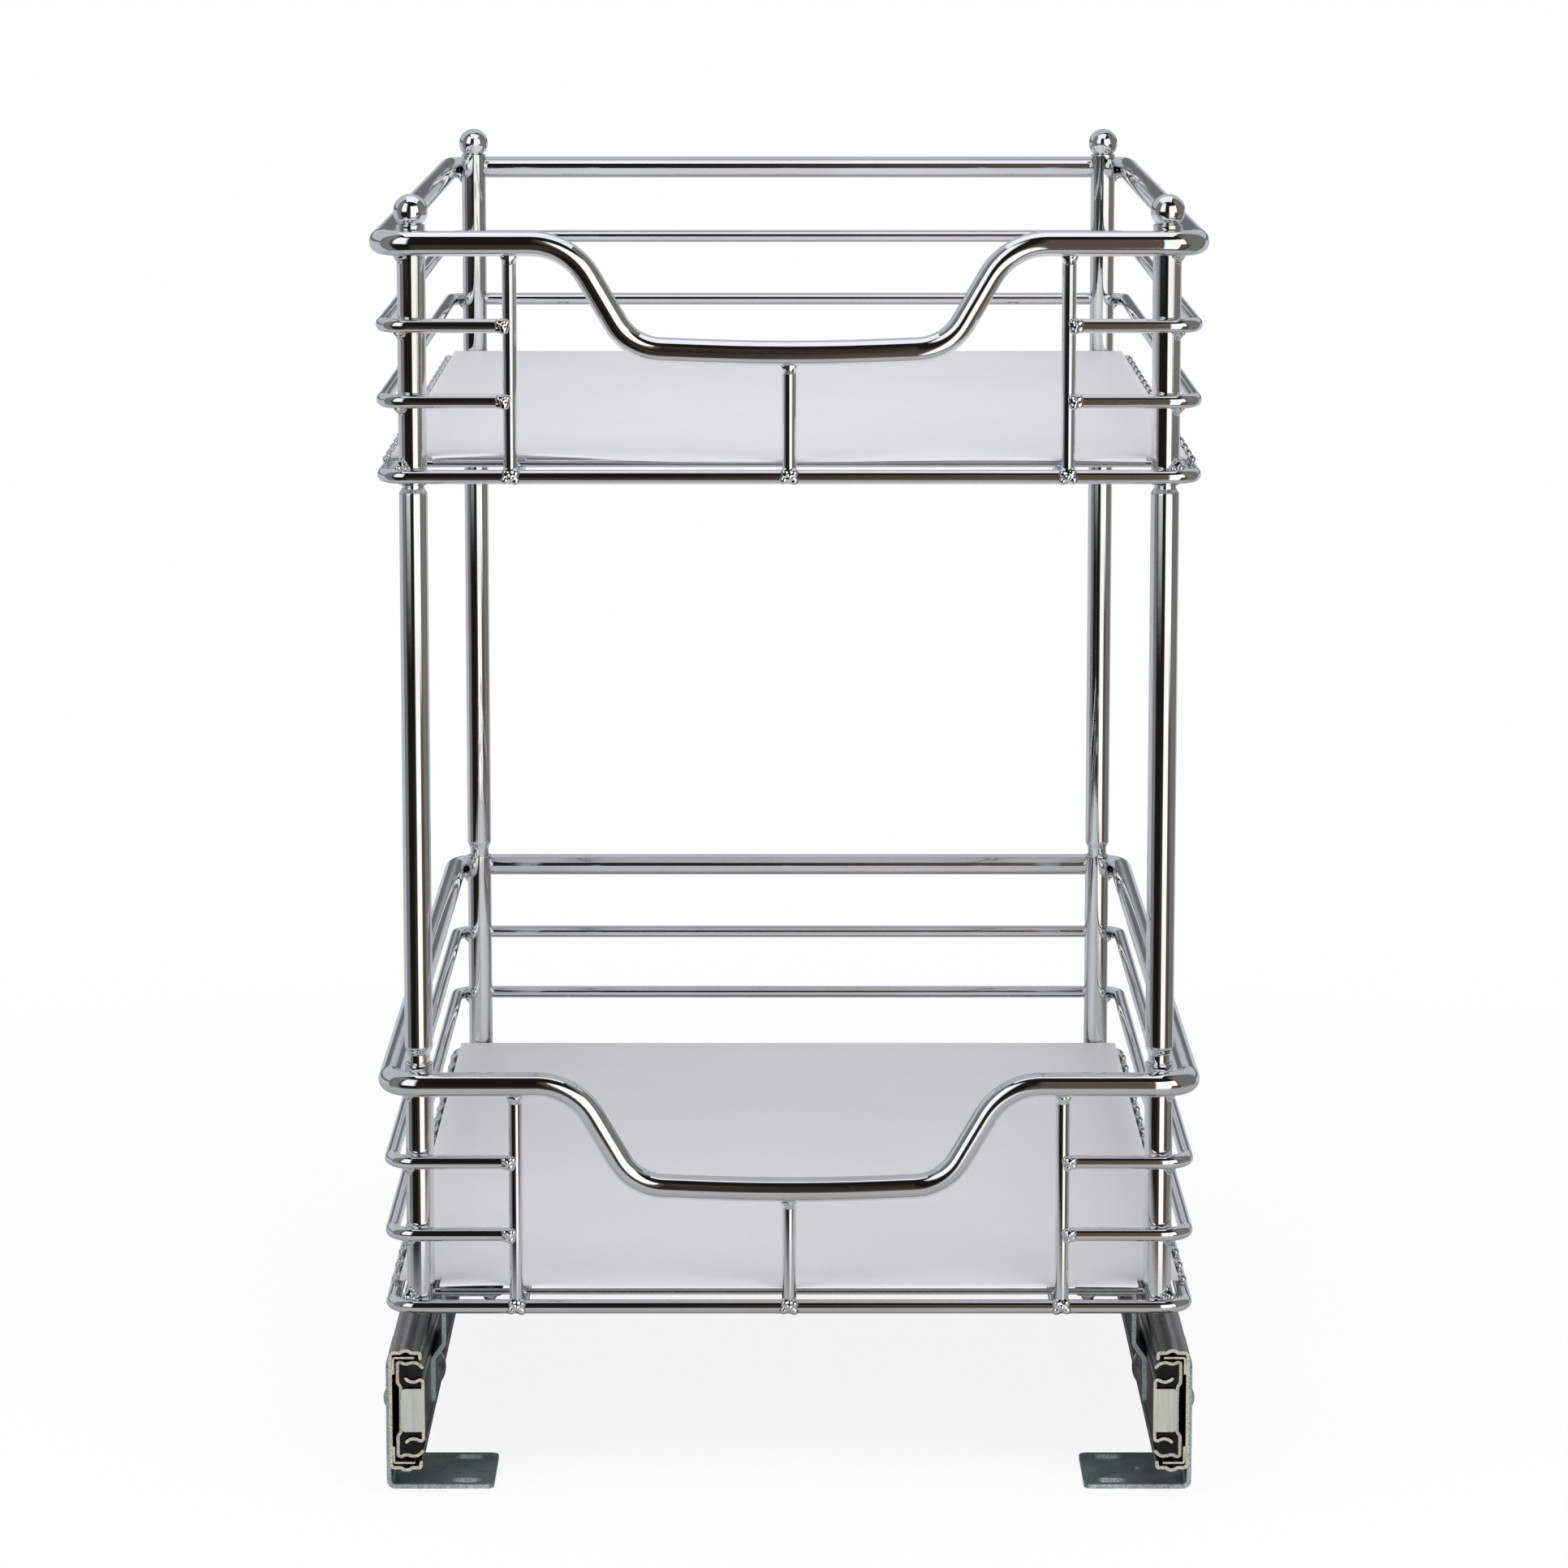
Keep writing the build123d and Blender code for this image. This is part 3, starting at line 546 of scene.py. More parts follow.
# %% [markdown]
# Bearing balls are the smoothest thing on the organizer: polished steel under a thin film of
# grease. They have no bump at all, only slow stains and a very low roughness.

# %% Bearing balls
bearing = plain_finish(
    "bearing_steel",
    stain={"Scale": 200.0, "First": grey(0.74), "Second": grey(0.66),
           "Patch": (0.66, 0.63, 0.55, 1), "Patches": 0.3},
    grain={"Scale": 2000.0, "Low": 0.05, "High": 0.14},
    depth=0, Metallic=1.0)

# %% [markdown]
# The end pieces of the slides are black nylon: dark, slightly mottled and half matt. Black
# plastic is judged by its gloss, so that is turned down too.

# %% Black nylon
nylon = plain_finish(
    "black_plastic",
    stain={"Scale": 220.0, "First": grey(0.005), "Second": grey(0.008), "Patch": grey(0.012),
           "Patches": 0.4},
    grain={"Scale": 1800.0, "Low": 0.35, "High": 0.6},
    depth=0.03 * MM, IOR=1.53, Specular_IOR_Level=0.2)

# %% [markdown]
# The liners are sheets of frosted plastic. The sheet has a fine drawn grain that runs across
# the basket and a soft sheen. Its colour carries slow patches of painted light and shade,
# where light would come through it unevenly. A see-through sheet would be truer, but slower
# to render.

# %% Frosted liner
liner_finish = plain_finish(
    "liner_plastic",
    # Painted light and shade: the slow mottle of these colours stands in for uneven light through
    # the sheet.
    stain={"Scale": 9.0, "First": (0.77, 0.77, 0.785, 1), "Second": (0.74, 0.74, 0.755, 1),
           "Patch": (0.76, 0.76, 0.77, 1), "Patches": 0.5},
    grain={"Scale": 1100.0, "Stretch": (0.1, 1.0, 1.0), "Low": 0.40, "High": 0.48},
    depth=0.003 * MM, IOR=1.49, Specular_IOR_Level=0.3)

# %% [markdown]
# Each top rail is a tube bent into a closed loop. In front it dips in a double curve to make
# the handle. The corner points of the dip and their radii say all of that shape, just as a
# bender's drawing does, and the middle sags in one very large arc.

# %% Top rails
RAIL_SIDES = 44
RAIL_CORNER_R = 12 * MM
DIP = [  # place across, drop below the rail and bend radius, in millimetres
    (-76.2, 0.0, 23.0), (-55.0, 36.4, 19.0), (0.0, 38.6, 800.0), (55.0, 36.4, 19.0),
    (76.2, 0.0, 23.0)]


def top_rail_path(z):
    """Bend line of a top rail."""
    corners = loop_corners(rail_x, rail_y, z)
    dip = [Vector((x * MM, -rail_y, z - drop * MM)) for x, drop, _ in DIP]
    radii = [RAIL_CORNER_R] + [radius * MM for _, _, radius in DIP] + 3 * [RAIL_CORNER_R]
    return bent_path(corners[:1] + dip + corners[1:], radii, closed=True)


def chrome_piece(name, shape, *stands_for):
    """A piece with the chrome finish."""
    make_piece(name, shape, chrome, "chrome_wire", *stands_for)


for tier in TIERS:
    shape = new_shape()
    add_tube(shape, top_rail_path(rail_z[tier]), RAIL_R, RAIL_SIDES, closed=True)
    chrome_piece(f"{tier}_rail_tube", shape, f"{tier}_top_rail")

# %% [markdown]
# The bottom rail is a plain loop. The two side wires start at an outer upright, run round
# the side and the back and end at the other one, so that the front stays open. Their ends
# stop just inside the upright, where the weld covers them.

# %% Bottom rails and side wires
WIRE_SIDES = 32
UPRIGHT_X = (-97 * MM, 0.0, 97 * MM)
SIDE_WIRE_START = UPRIGHT_X[2] + WIRE_R * 0.9

for tier in TIERS:
    shape = new_shape()
    path = bent_path(loop_corners(wire_x, wire_y, floor_z[tier]), 4 * [WIRE_CORNER_R], True)
    add_tube(shape, path, WIRE_R, WIRE_SIDES, closed=True)
    chrome_piece(f"{tier}_rail_wire", shape, f"{tier}_bottom_rail")
    for height in ("low", "high"):
        node = f"{tier}_{height}_side_wire"
        z = middle(node).z
        corners = loop_corners(wire_x, wire_y, z)
        line = [Vector((-SIDE_WIRE_START, -wire_y, z)), corners[0], corners[3], corners[2],
                corners[1], Vector((SIDE_WIRE_START, -wire_y, z))]
        shape = new_shape()
        add_tube(shape, bent_path(line, 6 * [WIRE_CORNER_R]), WIRE_R, WIRE_SIDES)
        chrome_piece(f"{node}_bent", shape, node)

# %% [markdown]
# The short front uprights stand on the bottom rail and end under the top rail. The middle
# one is shorter, because it ends under the dip. Each runs a little way into both rails, as a
# wire does that has been pressed in while it melts.

# %% Front uprights
HEAD_REACH = RAIL_R * 0.75
rail_low = {tier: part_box(f"{tier}_top_rail")[0].z + RAIL_R for tier in TIERS}
for tier in TIERS:
    shape = new_shape()
    for x in UPRIGHT_X:
        top = rail_low[tier] if x == 0 else rail_z[tier]
        line = [Vector((x, -wire_y, floor_z[tier])), Vector((x, -wire_y, top - HEAD_REACH))]
        add_tube(shape, line, WIRE_R, WIRE_SIDES, up=(0, 1, 0))
    chrome_piece(f"{tier}_upright_wires", shape, f"{tier}_front_uprights")

# %% [markdown]
# The floor of a basket is a row of thin cross wires welded on top of the bottom rail, with
# two thicker wires under them from front to rear. The first and the last cross wire are
# shorter, because they end at the corner tubes. An Array modifier could repeat the wires,
# but a loop lets those two differ.

# %% Floor grid
CROSS_WIRES = 22
FLOOR_WIRE_SIDES = 20
POST_SINK = POST_R * 0.9
RAIL_SINK = WIRE_R * 0.8
cross_y = [-post_y + 2 * post_y * i / (CROSS_WIRES - 1) for i in range(CROSS_WIRES)]
support_x = half_size("lower_support_wires").x - WIRE_R
for tier in TIERS:
    node = f"{tier}_floor_wires"
    level = middle(node).z
    shape = new_shape()
    for i, y in enumerate(cross_y):
        reach = post_x - POST_SINK if i in (0, CROSS_WIRES - 1) else half_size(node).x
        line = [Vector((-reach, y, level)), Vector((reach, y, level))]
        add_tube(shape, line, FLOOR_WIRE_R, FLOOR_WIRE_SIDES)
    chrome_piece(f"{tier}_cross_wires", shape, node)
    shape = new_shape()
    for x in (-support_x, support_x):
        reach = wire_y - RAIL_SINK
        line = [Vector((x, -reach, floor_z[tier])), Vector((x, reach, floor_z[tier]))]
        add_tube(shape, line, WIRE_R, WIRE_SIDES)
    chrome_piece(f"{tier}_under_wires", shape, f"{tier}_support_wires")

# %% [markdown]
# A corner post is three things: a short tube welded into the lower basket, another in the
# upper one, and a long tube between them. All are outlines turned about the post's axis. The
# rims of the short tubes are rounded a little, because a sharp rim shows no highlight. A
# Bevel modifier could round them too, but an outline needs only four more points.

# %% Corner tubes
POST_WALL = 1.0 * MM
RIM = 0.25 * MM
POST_SIDES = 56


def rim_arc(radius, z, direction):
    """Rounded corner of a tube's rim, from the outside in."""
    centre_r, centre_z = radius - RIM, z - direction * RIM
    angles = [radians(a) for a in (0, 30, 60, 90)]
    return [(centre_r + RIM * cos(a), centre_z + direction * RIM * sin(a)) for a in angles]


for tier in TIERS:
    low, high = [corner.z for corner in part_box(f"{tier}_corner_sockets")]
    outline = [(POST_R, low + 2 * RIM), (POST_R, high - 2 * RIM)] + rim_arc(POST_R, high, 1)
    outline += [(POST_R - POST_WALL, high), (POST_R - POST_WALL, low)]
    outline += rim_arc(POST_R, low, -1)[::-1]
    shape = new_shape()
    for corner in loop_corners(post_x, post_y, 0):
        add_turned(shape, outline, corner.x, corner.y, POST_SIDES)
    chrome_piece(f"{tier}_corner_tubes", shape, f"{tier}_corner_sockets")

# %% [markdown]
# The long tubes carry the upper basket. Their ends are pressed down to a neck that plugs
# into the short tubes, so a small swell shows above the lower basket and below the upper
# one. A smooth step from neck to tube gives that swell the soft highlight of pressed metal.

# %% Long tubes
NECK_R = 3.9 * MM
SHOULDER_STEPS = 10
FOOT_NECK, FOOT_SHOULDER = 2.8 * MM, 3.5 * MM
HEAD_NECK, HEAD_SHOULDER = 1.0 * MM, 2.3 * MM
socket_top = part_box("lower_corner_sockets")[1].z
socket_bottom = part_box("upper_corner_sockets")[0].z
POSTS = [(f"{end}_{side}", x_sign * post_x, y_sign * post_y)
         for end, y_sign in (("front", -1), ("rear", 1))
         for side, x_sign in (("left", -1), ("right", 1))]


def shoulder(z, direction, height):
    """Smooth swell from the neck out to the tube, going up or down."""
    swell = []
    for k in range(SHOULDER_STEPS + 1):
        share = k / SHOULDER_STEPS
        ease = share * share * (3 - 2 * share)
        swell.append((NECK_R + (POST_R - NECK_R) * ease, z + direction * height * share))
    return swell


for post, x, y in POSTS:
    low, high = [corner.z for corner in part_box(f"{post}_long_tube")]
    outline = [(NECK_R, low)] + shoulder(socket_top + FOOT_NECK, 1, FOOT_SHOULDER)
    outline += shoulder(socket_bottom - HEAD_NECK, -1, HEAD_SHOULDER)[::-1]
    outline += [(NECK_R, high), (NECK_R - POST_WALL, high), (NECK_R - POST_WALL, low)]
    shape = new_shape()
    add_turned(shape, outline, x, y, POST_SIDES)
    chrome_piece(f"{post}_post", shape, f"{post}_long_tube")

# %% [markdown]
# A ball plugs the top of each post. It is turned from one arc, with the spigot that holds it
# in the tube. A ready-made sphere would need a cylinder joined to it, and the joint would
# show in the reflections.

# %% Ball finials
BALL_R = 6 * MM
BALL_STEPS = 40
neck_angle = atan2(NECK_R, -sqrt(BALL_R ** 2 - NECK_R ** 2))
for post, x, y in POSTS:
    low, high = [corner.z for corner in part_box(f"{post}_finial")]
    ball_z = high - BALL_R
    outline = [(0, high)]
    for k in range(1, BALL_STEPS + 1):
        angle = neck_angle * k / BALL_STEPS
        outline.append((BALL_R * sin(angle), ball_z + BALL_R * cos(angle)))
    outline += [(NECK_R, low), (0, low)]
    shape = new_shape()
    add_turned(shape, outline[::-1], x, y, POST_SIDES)
    chrome_piece(f"{post}_ball", shape, f"{post}_finial")

# %% [markdown]
# Welds make a wire basket look real. Where two wires were pressed together and melted, the
# metal stands up in a small lump that flows into both. Metaballs are drops that run together
# where they touch, which is what melted metal does, so each kind of weld is grown from a few
# of them, turned into a mesh and copied to its places. Metaballs can't be made as fine as a
# fraction of a millimetre, so they are grown a hundred times too large and shrunk again.

# %% Grow a weld from drops
DROP_STIFFNESS = 4.0
DROP_THRESHOLD = 0.6
DROP_SHARE = sqrt(1 - (DROP_THRESHOLD / DROP_STIFFNESS) ** (1 / 3))
DROP_CELL = 0.3
ENLARGED = 100.0


def grow_weld(name, drops):
    """A lump from (x, y, z, radius) drops in millimetres, about the weld's own middle."""
    data = bpy.data.metaballs.new(name)
    data.resolution = data.render_resolution = DROP_CELL * MM * ENLARGED
    data.threshold = DROP_THRESHOLD
    for x, y, z, radius in drops:
        drop = data.elements.new()
        drop.co = Vector((x, y, z)) * MM * ENLARGED
        drop.radius = radius * MM * ENLARGED / DROP_SHARE
        drop.stiffness = DROP_STIFFNESS
    holder = add_object(name, data)
    bpy.context.view_layer.update()
    grown = holder.evaluated_get(bpy.context.evaluated_depsgraph_get())
    mesh = bpy.data.meshes.new_from_object(grown)
    lump = {"points": [v.co / ENLARGED for v in mesh.vertices],
            "faces": [tuple(p.vertices) for p in mesh.polygons]}
    bpy.data.objects.remove(holder)
    bpy.data.metaballs.remove(data)
    bpy.data.meshes.remove(mesh)
    print(name, len(lump["points"]), "points")
    return lump


# %% [markdown]
# Each kind of weld has its own drops. The foot of an upright is squeezed out to both sides
# on the bottom rail, its head is smaller, and the end of a side wire has lumps all round.
# The numbers are uneven on purpose, because a weld is never quite round.

# %% Welds of the front wires
foot_weld = grow_weld("foot_weld", [
    (0, -0.4, 0.5, 2.9), (-2.0, -1.8, -0.9, 1.5), (1.9, -1.7, -1.2, 1.45), (-1.6, -1.6, 1.8, 1.4),
    (1.8, -1.8, 1.5, 1.5), (0.1, -2.5, 0.1, 1.1), (0, 0, 3.2, 2.3), (0, 0, 4.6, 2.1),
    (-3.4, -0.2, 0, 1.9), (3.4, -0.2, 0, 1.9), (0, 1.2, 0, 2.0)])
head_weld = grow_weld("head_weld", [
    (0, -0.3, -0.7, 2.7), (0, 0, -2.7, 2.1), (-1.6, -1.5, -0.2, 1.4), (1.6, -1.4, 0.2, 1.4),
    (0.1, -2.0, 0.9, 1.2), (0, -0.9, 1.3, 1.7), (0, 0.6, 0.6, 2.0)])
end_weld = grow_weld("end_weld", [
    (-0.5, -0.6, 0, 2.8), (-1.5, -2.1, 1.4, 1.3), (-0.6, -2.2, -1.5, 1.4), (1.2, -1.7, 1.1, 1.5),
    (1.5, -1.5, -1.0, 1.4), (-0.1, -2.7, 0.2, 1.1), (2.9, 0, 0, 2.0), (-1.4, 0.2, 2.3, 1.3),
    (-1.3, 0.1, -2.4, 1.3)])

# %% [markdown]
# Three more kinds belong to the corners and the floor. A cross wire's end is one small drop
# on the bottom rail. A gusset is the web of metal in the angle between a corner tube and a
# wire, thick at the wire and thin along the tube. A seam is the short bead where a wire
# passes the tube.

# %% Welds of the floor and corners
cross_weld = grow_weld("cross_weld", [
    (0, 0, 0, 1.4), (0.9, 0.4, -0.5, 1.1), (0.7, -0.6, -0.6, 1.0)])
corner_weld = grow_weld("corner_weld", [
    (6.4, 0, 3.4, 2.0), (5.5, 0, 5.2, 1.6), (5.1, 0, 6.8, 1.0), (5.6, 2.7, 3.1, 1.5),
    (5.6, -2.7, 3.1, 1.5), (5.2, 1.6, 4.8, 1.2), (5.2, -1.5, 4.6, 1.3)])
seam_weld = grow_weld("seam_weld", [
    (0, 0, 0.9, 0.9), (0, 0, -0.9, 0.9), (0.35, 0, 0, 1.0), (0, 0, 1.9, 0.6), (0, 0, -1.9, 0.6)])

# %% [markdown]
# The lumps are now set at every joint. Mirrored copies keep the left and right of a basket
# from looking stamped from one mould. First come the heads and feet of the uprights and the
# ends of the side wires.

# %% Places of the front welds
HEAD_FORWARD = 0.2 * MM


def place(x, y, z, mirror=1, turn=0.0):
    """Matrix that moves a weld to its joint, mirrored left to right and turned about Z."""
    return (Matrix.Translation((x, y, z)) @ Matrix.Rotation(turn, 4, "Z")
            @ Matrix.Diagonal((mirror, 1, 1, 1)))


def front_welds(tier):
    """Welds of one basket's uprights and of the ends of its side wires."""
    shape = new_shape()
    for i, x in enumerate(UPRIGHT_X):
        mirror = -1 if i == 2 else 1
        top = (rail_low[tier] if x == 0 else rail_z[tier]) - RAIL_R
        add_copy(shape, foot_weld, place(x, -wire_y, floor_z[tier], mirror))
        add_copy(shape, head_weld, place(x, -wire_y - HEAD_FORWARD, top, mirror))
    for height in ("low", "high"):
        z = middle(f"{tier}_{height}_side_wire").z
        for sign in (-1, 1):
            x = sign * (UPRIGHT_X[2] + WIRE_R)
            add_copy(shape, end_weld, place(x, -wire_y, z, sign))
    return shape


print("upright welds at x", UPRIGHT_X)

# %% [markdown]
# At each corner a gusset points outwards, over the bend of the wire that it holds. The one
# on the bottom rail stands up, and the others hang under their wires, so their height is
# below 0 and the lump is turned over. Two seams lie beside the tube at each wire.

# %% Places of the corner and floor welds
GUSSET_UP, GUSSET_DOWN, GUSSET_RAIL = 0.82, -0.72, -1.0
SEAM_ASIDE = 2.6 * MM
SEAM_INWARD = 0.9 * MM
SEAM_TURN = 0.6


def add_gusset(shape, corner, z, height):
    """A gusset at a corner tube. height is a share of the lump's, and below 0 it hangs."""
    outward = Matrix.Rotation(atan2(corner.y, copysign(post_y, corner.x)), 4, "Z")
    squash = Matrix.Diagonal((1, abs(height), height, 1))
    at_tube = Matrix.Translation((corner.x, corner.y, z))
    add_copy(shape, corner_weld, at_tube @ outward @ squash)


def corner_welds(tier):
    """Welds of one basket's floor wires and corner tubes."""
    shape = new_shape()
    level = middle(f"{tier}_floor_wires").z
    for y in cross_y[1:-1]:
        for sign in (-1, 1):
            add_copy(shape, cross_weld, place(sign * wire_x, y, level, sign))
    wires = [floor_z[tier]] + [middle(f"{tier}_{h}_side_wire").z for h in ("low", "high")]
    gussets = list(zip(wires, (GUSSET_UP, GUSSET_DOWN, GUSSET_DOWN)))
    gussets.append((rail_z[tier], GUSSET_RAIL))
    for corner in loop_corners(post_x, post_y, 0):
        y_sign = 1 if corner.y > 0 else -1
        for z, height in gussets:
            add_gusset(shape, corner, z, height)
        for z in wires:
            for side in (-1, 1):
                x = corner.x + side * SEAM_ASIDE
                y = y_sign * (wire_y - WIRE_R - SEAM_INWARD)
                add_copy(shape, seam_weld, place(x, y, z, side, -y_sign * side * SEAM_TURN))
    return shape


for tier in TIERS:
    chrome_piece(f"{tier}_front_welds", front_welds(tier))
    chrome_piece(f"{tier}_corner_welds", corner_welds(tier))

# %% [markdown]
# A liner is a thin sheet with a notch round each front post. It lies on the grid but isn't
# quite flat: near the front left it lifts in a low wave, and on the right in a lower one. A
# cloth simulation would find such waves by chance. Here two smooth humps put them where they
# should be, and they die away towards the rear.

# %% Waves and notches of the liners
LINER_T = 0.8 * MM
NOTCH_X = 124.6 * MM
NOTCH_Y = -205.5 * MM
WAVE_FADE = 55 * MM
WAVES = {  # middle across, width and height of each wave, in millimetres
    "upper": [(-96, 34, 2.4), (70, 40, 0.8)],
    "lower": [(-104, 24, 0.9), (60, 60, 0.5)]}


def lift(tier, x, y, front):
    """How far the sheet stands above the grid."""
    fade = exp(-(y - front) / WAVE_FADE)
    return sum(height * MM * exp(-(((x / MM - centre) / width) ** 2)) * fade
               for centre, width, height in WAVES[tier])


print("notches at", NOTCH_X, NOTCH_Y)

# %% [markdown]
# A grid of points gives the sheet something to bend with. The notches are places where the
# grid has no points. The thickness comes from pushing a copy of the whole sheet down, which
# also closes its sides. A Solidify modifier does the same, but this way the mesh is finished.

# %% Liners
NOTCH_POINTS = 8
WIDE_POINTS = 80
DEEP_POINTS = 60
HAIR = 1e-6


def evenly(low, high, count):
    """Evenly spaced numbers, both ends included."""
    return [low + (high - low) * i / (count - 1) for i in range(count)]


def liner_shape(tier):
    """One basket's liner."""
    low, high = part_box(f"{tier}_liner")
    xs = evenly(low.x, -NOTCH_X, NOTCH_POINTS) + evenly(-NOTCH_X, NOTCH_X, WIDE_POINTS)[1:-1]
    xs += evenly(NOTCH_X, high.x, NOTCH_POINTS)
    ys = evenly(low.y, NOTCH_Y, NOTCH_POINTS) + evenly(NOTCH_Y, high.y, DEEP_POINTS)[1:]
    sheet = bmesh.new()
    grid = {}
    for i, x in enumerate(xs):
        for j, y in enumerate(ys):
            if abs(x) > NOTCH_X + HAIR and y < NOTCH_Y - HAIR:
                continue
            grid[i, j] = sheet.verts.new((x, y, high.z + lift(tier, x, y, low.y)))
    for i in range(len(xs) - 1):
        for j in range(len(ys) - 1):
            corners = [(i, j), (i + 1, j), (i + 1, j + 1), (i, j + 1)]
            if all(corner in grid for corner in corners):
                sheet.faces.new([grid[corner] for corner in corners])
    under = bmesh.ops.extrude_face_region(sheet, geom=sheet.faces[:])["geom"]
    bmesh.ops.translate(sheet, vec=(0, 0, -LINER_T),
                        verts=[v for v in under if isinstance(v, bmesh.types.BMVert)])
    bmesh.ops.recalc_face_normals(sheet, faces=sheet.faces[:])
    sheet.verts.index_update()
    shape = {"points": [v.co.copy() for v in sheet.verts],
             "faces": [tuple(v.index for v in f.verts) for f in sheet.faces]}
    sheet.free()
    return shape


for tier in TIERS:
    make_piece(f"{tier}_liner_sheet", liner_shape(tier), liner_finish, "liner_plastic",
               f"{tier}_liner")

# %% [markdown]
# The slides, brackets, carriers and screws keep their measured shapes: rolled and pressed
# steel has crisp edges, which the measured model already has. Each gets the finish that
# belongs to it, found by a word in its name. The first word that fits wins, so
# carrier_screws stands before carrier.

# %% Finishes for the measured parts
FINISH_BY_WORD = [("outer_member", zinc), ("intermediate_member", zinc), ("inner_member", zinc),
                  ("ball_strip", zinc), ("balls", bearing), ("bumper", nylon),
                  ("floor_bracket", bracket_finish), ("carrier_screws", fastener),
                  ("carrier", bracket_finish), ("grid_screws", fastener),
                  ("grid_clamps", bracket_finish), ("bracket_rivets", fastener)]
for name, part in nodes.items():
    finish = next((f for word, f in FINISH_BY_WORD if word in name), None)
    if finish is None:
        continue
    for holder in part.material_slots:
        holder.material = finish
    print(name, "gets", finish.name)

# %% [markdown]
# The camera stands a good two metres in front of the organizer, a hand's width above its
# top, and looks slightly down. A long lens keeps the verticals nearly straight. The plain
# view transform shows colours as they are written, with no film look over them.

# %% Camera
LENS = 135.77
SENSOR = 36
CAMERA_AT = (-0.0018, -2.2676, 0.5943)
LOOK_DOWN = 9.359
camera_data = bpy.data.cameras.new("camera")
camera_data.lens = LENS
camera_data.sensor_width = SENSOR
camera = add_object("camera", camera_data)
camera.location = CAMERA_AT
camera.rotation_euler = (radians(90 - LOOK_DOWN), 0, 0)
bpy.context.scene.camera = camera
bpy.context.scene.view_settings.view_transform = "Standard"
print("camera at", tuple(camera.location))

# %% [markdown]
# The room is what the chrome shows. It is drawn in the world by direction, as soft-edged
# boxes of light and dark. A photograph of a studio would do, but here each streak on a wire
# can be set by itself. First the direction of a ray is turned into two angles: azimuth 0
# is straight out of the organizer's front and 90 is to its right, and elevation 0 is level.

# %% Directions in the room
world = bpy.data.worlds.new("studio")
bpy.context.scene.world = world
world.use_nodes = True
tree = world.node_tree
tree.nodes.clear()
direction = add_node(tree, "TexCoord").outputs["Generated"]
axes = add_node(tree, "SeparateXYZ", links={0: direction})
forward = maths(tree, "MULTIPLY", axes.outputs["Y"], -1.0)
azimuth = maths(tree, "DEGREES", maths(tree, "ARCTAN2", axes.outputs["X"], forward))
elevation = maths(tree, "DEGREES", maths(tree, "ARCSINE", axes.outputs["Z"]))


def within(value, low, high, soft):
    """A mask in the room that is 1 between two limits and fades out over a soft edge."""
    rise = spread(tree, value, low - soft, low + soft, kind="SMOOTHSTEP")
    fall = spread(tree, value, high - soft, high + soft, 1.0, 0.0, "SMOOTHSTEP")
    return maths(tree, "MULTIPLY", rise, fall)


print("the room's angles take", len(tree.nodes), "nodes")

# %% [markdown]
# The room is dark in front, with a pale backdrop behind, grey sides, and a thin darker band
# just above the horizon behind, which lets rails seen from the side read as chrome. Two
# windows light it from the front, over a low dark band. The left one is tall and soft. The
# right one has an upper and a lower pane in a brown frame. A box painted later covers the
# ones before it. What lies behind is given twice, because azimuth jumps from 180 to -180
# there. Only mirror rays see the room. Rays to the camera see plain white, and dull surfaces
# get an even light from all sides.

# %% Room of soft boxes
DARK_ROOM = (0.012, 0.011, 0.010, 1)
SOFT_LIGHT = (0.62, 0.62, 0.63, 1)
WHITE = (1, 1, 1, 1)
BACKDROP = (0.57, 0.58, 0.63, 1)
HORIZON = (0.16, 0.16, 0.17, 1)
PANE = (1.30, 1.29, 1.27, 1)
ROOM = [
    # azimuth from, to and softness; elevation from, to and softness; colour
    ((-200, -95, 5), (-95, 95, 6), BACKDROP),
    ((126, 200, 10), (-95, 95, 6), BACKDROP),
    ((-200, -95, 5), (2, 11, 2), HORIZON),
    ((126, 200, 10), (2, 11, 2), HORIZON),
    ((-92, -64, 7), (-95, 62, 10), (0.22, 0.22, 0.22, 1)),
    ((60, 122, 8), (-95, 62, 10), (0.20, 0.20, 0.18, 1)),
    ((-14, 70, 6), (-60, -9, 4), (0.050, 0.040, 0.034, 1)),
    ((-56, -22, 5), (0, 53, 5), (1.20, 1.20, 1.22, 1)),
    ((1, 62, 3), (-48, 38, 3), (0.13, 0.092, 0.068, 1)),
    ((6, 58, 2), (-5, 36, 2), PANE),
    ((6, 43, 2), (-46, -4, 2), PANE),
]
room = DARK_ROOM
for across, up, colour in ROOM:
    mask = maths(tree, "MULTIPLY", within(azimuth, *across), within(elevation, *up))
    room = blend_colour(tree, mask, room, colour)
rays = add_node(tree, "LightPath")
mirror_ray = maths(tree, "MAXIMUM", rays.outputs["Is Glossy Ray"],
                   rays.outputs["Is Transmission Ray"])
seen = blend_colour(tree, mirror_ray, SOFT_LIGHT, room)
seen = blend_colour(tree, rays.outputs["Is Camera Ray"], seen, WHITE)
background = add_node(tree, "Background", {"Strength": 1.0}, {"Color": seen})
add_node(tree, "OutputWorld", links={"Surface": background.outputs[0]})
print("room of", len(ROOM), "soft boxes")

# %% [markdown]
# One light hangs near enough for the front and the rear rails to see it from different
# sides. At the front it is overhead, and from the rear rails it is well forward. A room that
# is drawn by direction alone can't do that, so this light is a real panel at a real place,
# which only mirror rays see.

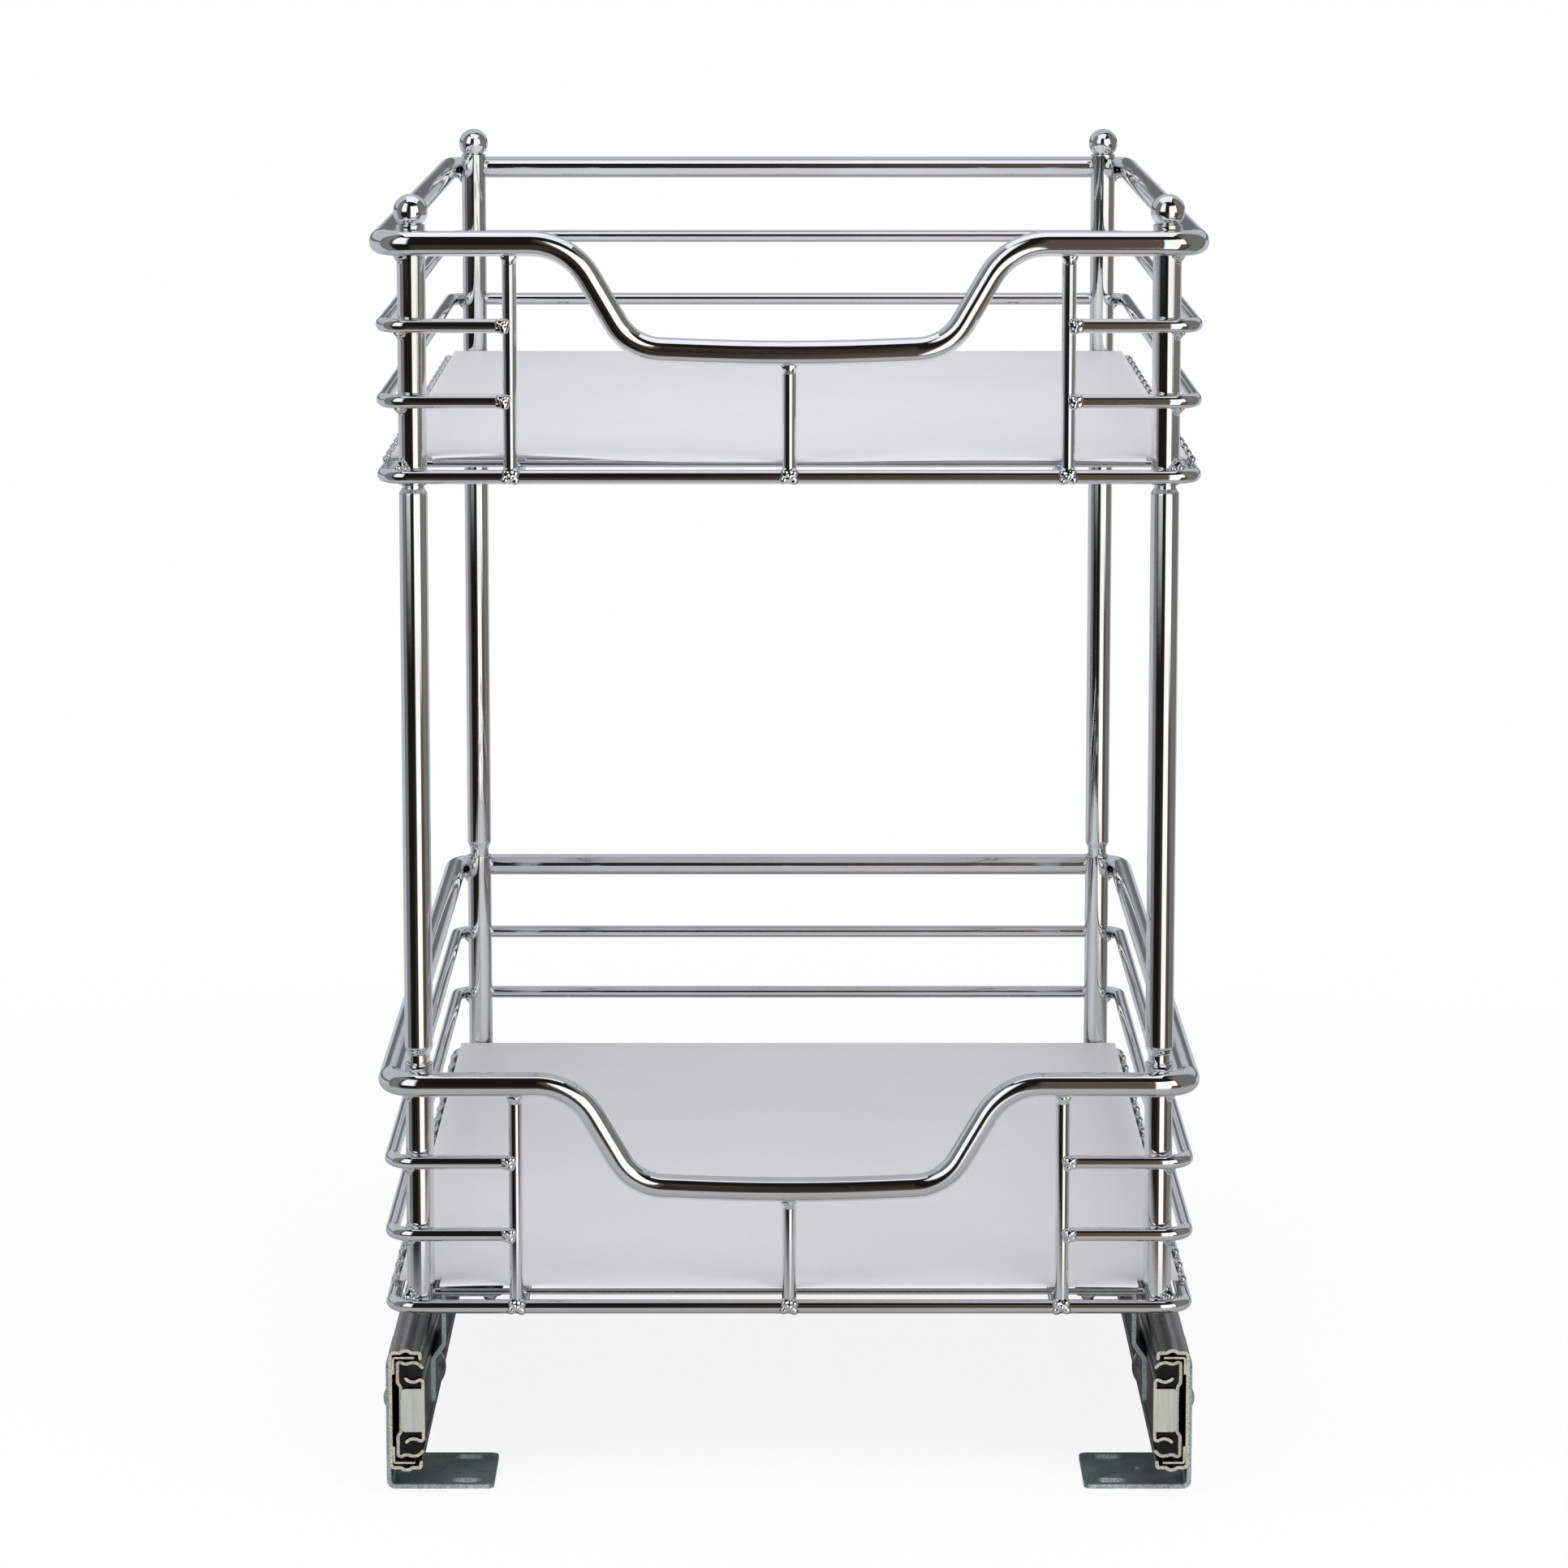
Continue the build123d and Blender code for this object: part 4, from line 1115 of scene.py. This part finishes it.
# %% Overhead panel
PANEL_AT = (0.0, -0.15, 1.05)
PANEL_HALF = (0.34, 0.30)
PANEL_COLOUR = (1.0, 1.0, 1.08, 1)
PANEL_STRENGTH = 1.1
panel_data = bpy.data.meshes.new("overhead_panel")
panel_data.from_pydata(
    [(PANEL_AT[0] + x * PANEL_HALF[0], PANEL_AT[1] + y * PANEL_HALF[1], PANEL_AT[2])
     for x, y in ((-1, -1), (-1, 1), (1, 1), (1, -1))], [], [(0, 1, 2, 3)])
panel = add_object("overhead_panel", panel_data)
glow = bpy.data.materials.new("panel_glow")
glow.use_nodes = True
tree = glow.node_tree
tree.nodes.remove(tree.nodes["Principled BSDF"])
light = add_node(tree, "Emission", {"Color": PANEL_COLOUR, "Strength": PANEL_STRENGTH})
tree.links.new(light.outputs[0], tree.nodes["Material Output"].inputs["Surface"])
panel_data.materials.append(glow)
panel.visible_camera = False
panel.visible_diffuse = False
panel.visible_shadow = False
print("panel at", PANEL_AT)

# %% [markdown]
# Three large soft lamps give the liners and the floor their gentle shading. The key lamp on
# the right is the strongest, and together they stay low enough for the liners not to burn
# out. They are hidden from mirror rays, because the room above already shows its windows
# there.

# %% Soft lamps
LAMPS = [  # name, place, size and power
    ("key", (0.9, -1.4, 1.5), 1.3, 16.5),
    ("fill", (-1.2, -1.1, 1.3), 1.3, 12.5),
    ("top", (0.0, 0.2, 2.1), 1.6, 6.0)]
LAMPS_AIM = Vector((0, 0, 0.22))
for name, place_at, size, power in LAMPS:
    lamp_data = bpy.data.lights.new(name, "AREA")
    lamp_data.shape = "SQUARE"
    lamp_data.size = size
    lamp_data.energy = power
    lamp = add_object(name, lamp_data)
    lamp.location = place_at
    lamp.rotation_euler = (Vector(place_at) - LAMPS_AIM).to_track_quat("Z", "Y").to_euler()
    lamp.visible_glossy = False
    lamp.visible_camera = False
print("lamps", [name for name, _, _, _ in LAMPS])

# %% [markdown]
# The floor is a pale disc. The camera sees it mostly as plain white, and far out as nothing
# else, so that it meets the white of the world unseen. What is left of its own shading near
# the organizer is the soft shadow. Mirror rays see a greyer floor, which fades out a little
# way beyond the organizer, so that the undersides of the wires show grey and then dark.

# %% Floor
FLOOR_R = 1.1
FLOOR_SIDES = 96
floor_mesh = bmesh.new()
bmesh.ops.create_circle(floor_mesh, cap_ends=True, radius=FLOOR_R, segments=FLOOR_SIDES)
floor_data = bpy.data.meshes.new("floor")
floor_mesh.to_mesh(floor_data)
floor_mesh.free()
floor = add_object("floor", floor_data)
print("floor radius", FLOOR_R)

# %% Paper of the floor
WHITE_FROM, WHITE_TO = 0.35, 0.9
LEAST_WHITE = 0.88
MIRRORED_TO, MIRRORED_GONE = 0.44, 0.64
paper, tree, shader = new_finish("paper_floor", Roughness=0.9, Specular_IOR_Level=0.0)
spot = add_node(tree, "TexCoord").outputs["Object"]
distance = add_node(tree, "VectorMath", operation="LENGTH", links={0: spot}).outputs["Value"]
rays = add_node(tree, "LightPath")
tone = blend_colour(tree, rays.outputs["Is Glossy Ray"], grey(0.93), grey(0.45))
tree.links.new(tone, shader.inputs["Base Color"])
fade = spread(tree, distance, WHITE_FROM, WHITE_TO, LEAST_WHITE, 1.0, "SMOOTHSTEP")
seen_by_camera = maths(tree, "MULTIPLY", fade, rays.outputs["Is Camera Ray"])
white = add_node(tree, "Emission", {"Color": WHITE, "Strength": 1.0})
mixed = add_node(tree, "MixShader",
                 links={0: seen_by_camera, 1: shader.outputs[0], 2: white.outputs[0]})
far = spread(tree, distance, MIRRORED_TO, MIRRORED_GONE, kind="SMOOTHSTEP")
gone = maths(tree, "MULTIPLY", far, rays.outputs["Is Glossy Ray"])
clear = add_node(tree, "BsdfTransparent")
through = add_node(tree, "MixShader", links={0: gone, 1: mixed.outputs[0], 2: clear.outputs[0]})
tree.links.new(through.outputs[0], tree.nodes["Material Output"].inputs["Surface"])
floor_data.materials.append(paper)
print(paper.name, "has", len(tree.nodes), "nodes")
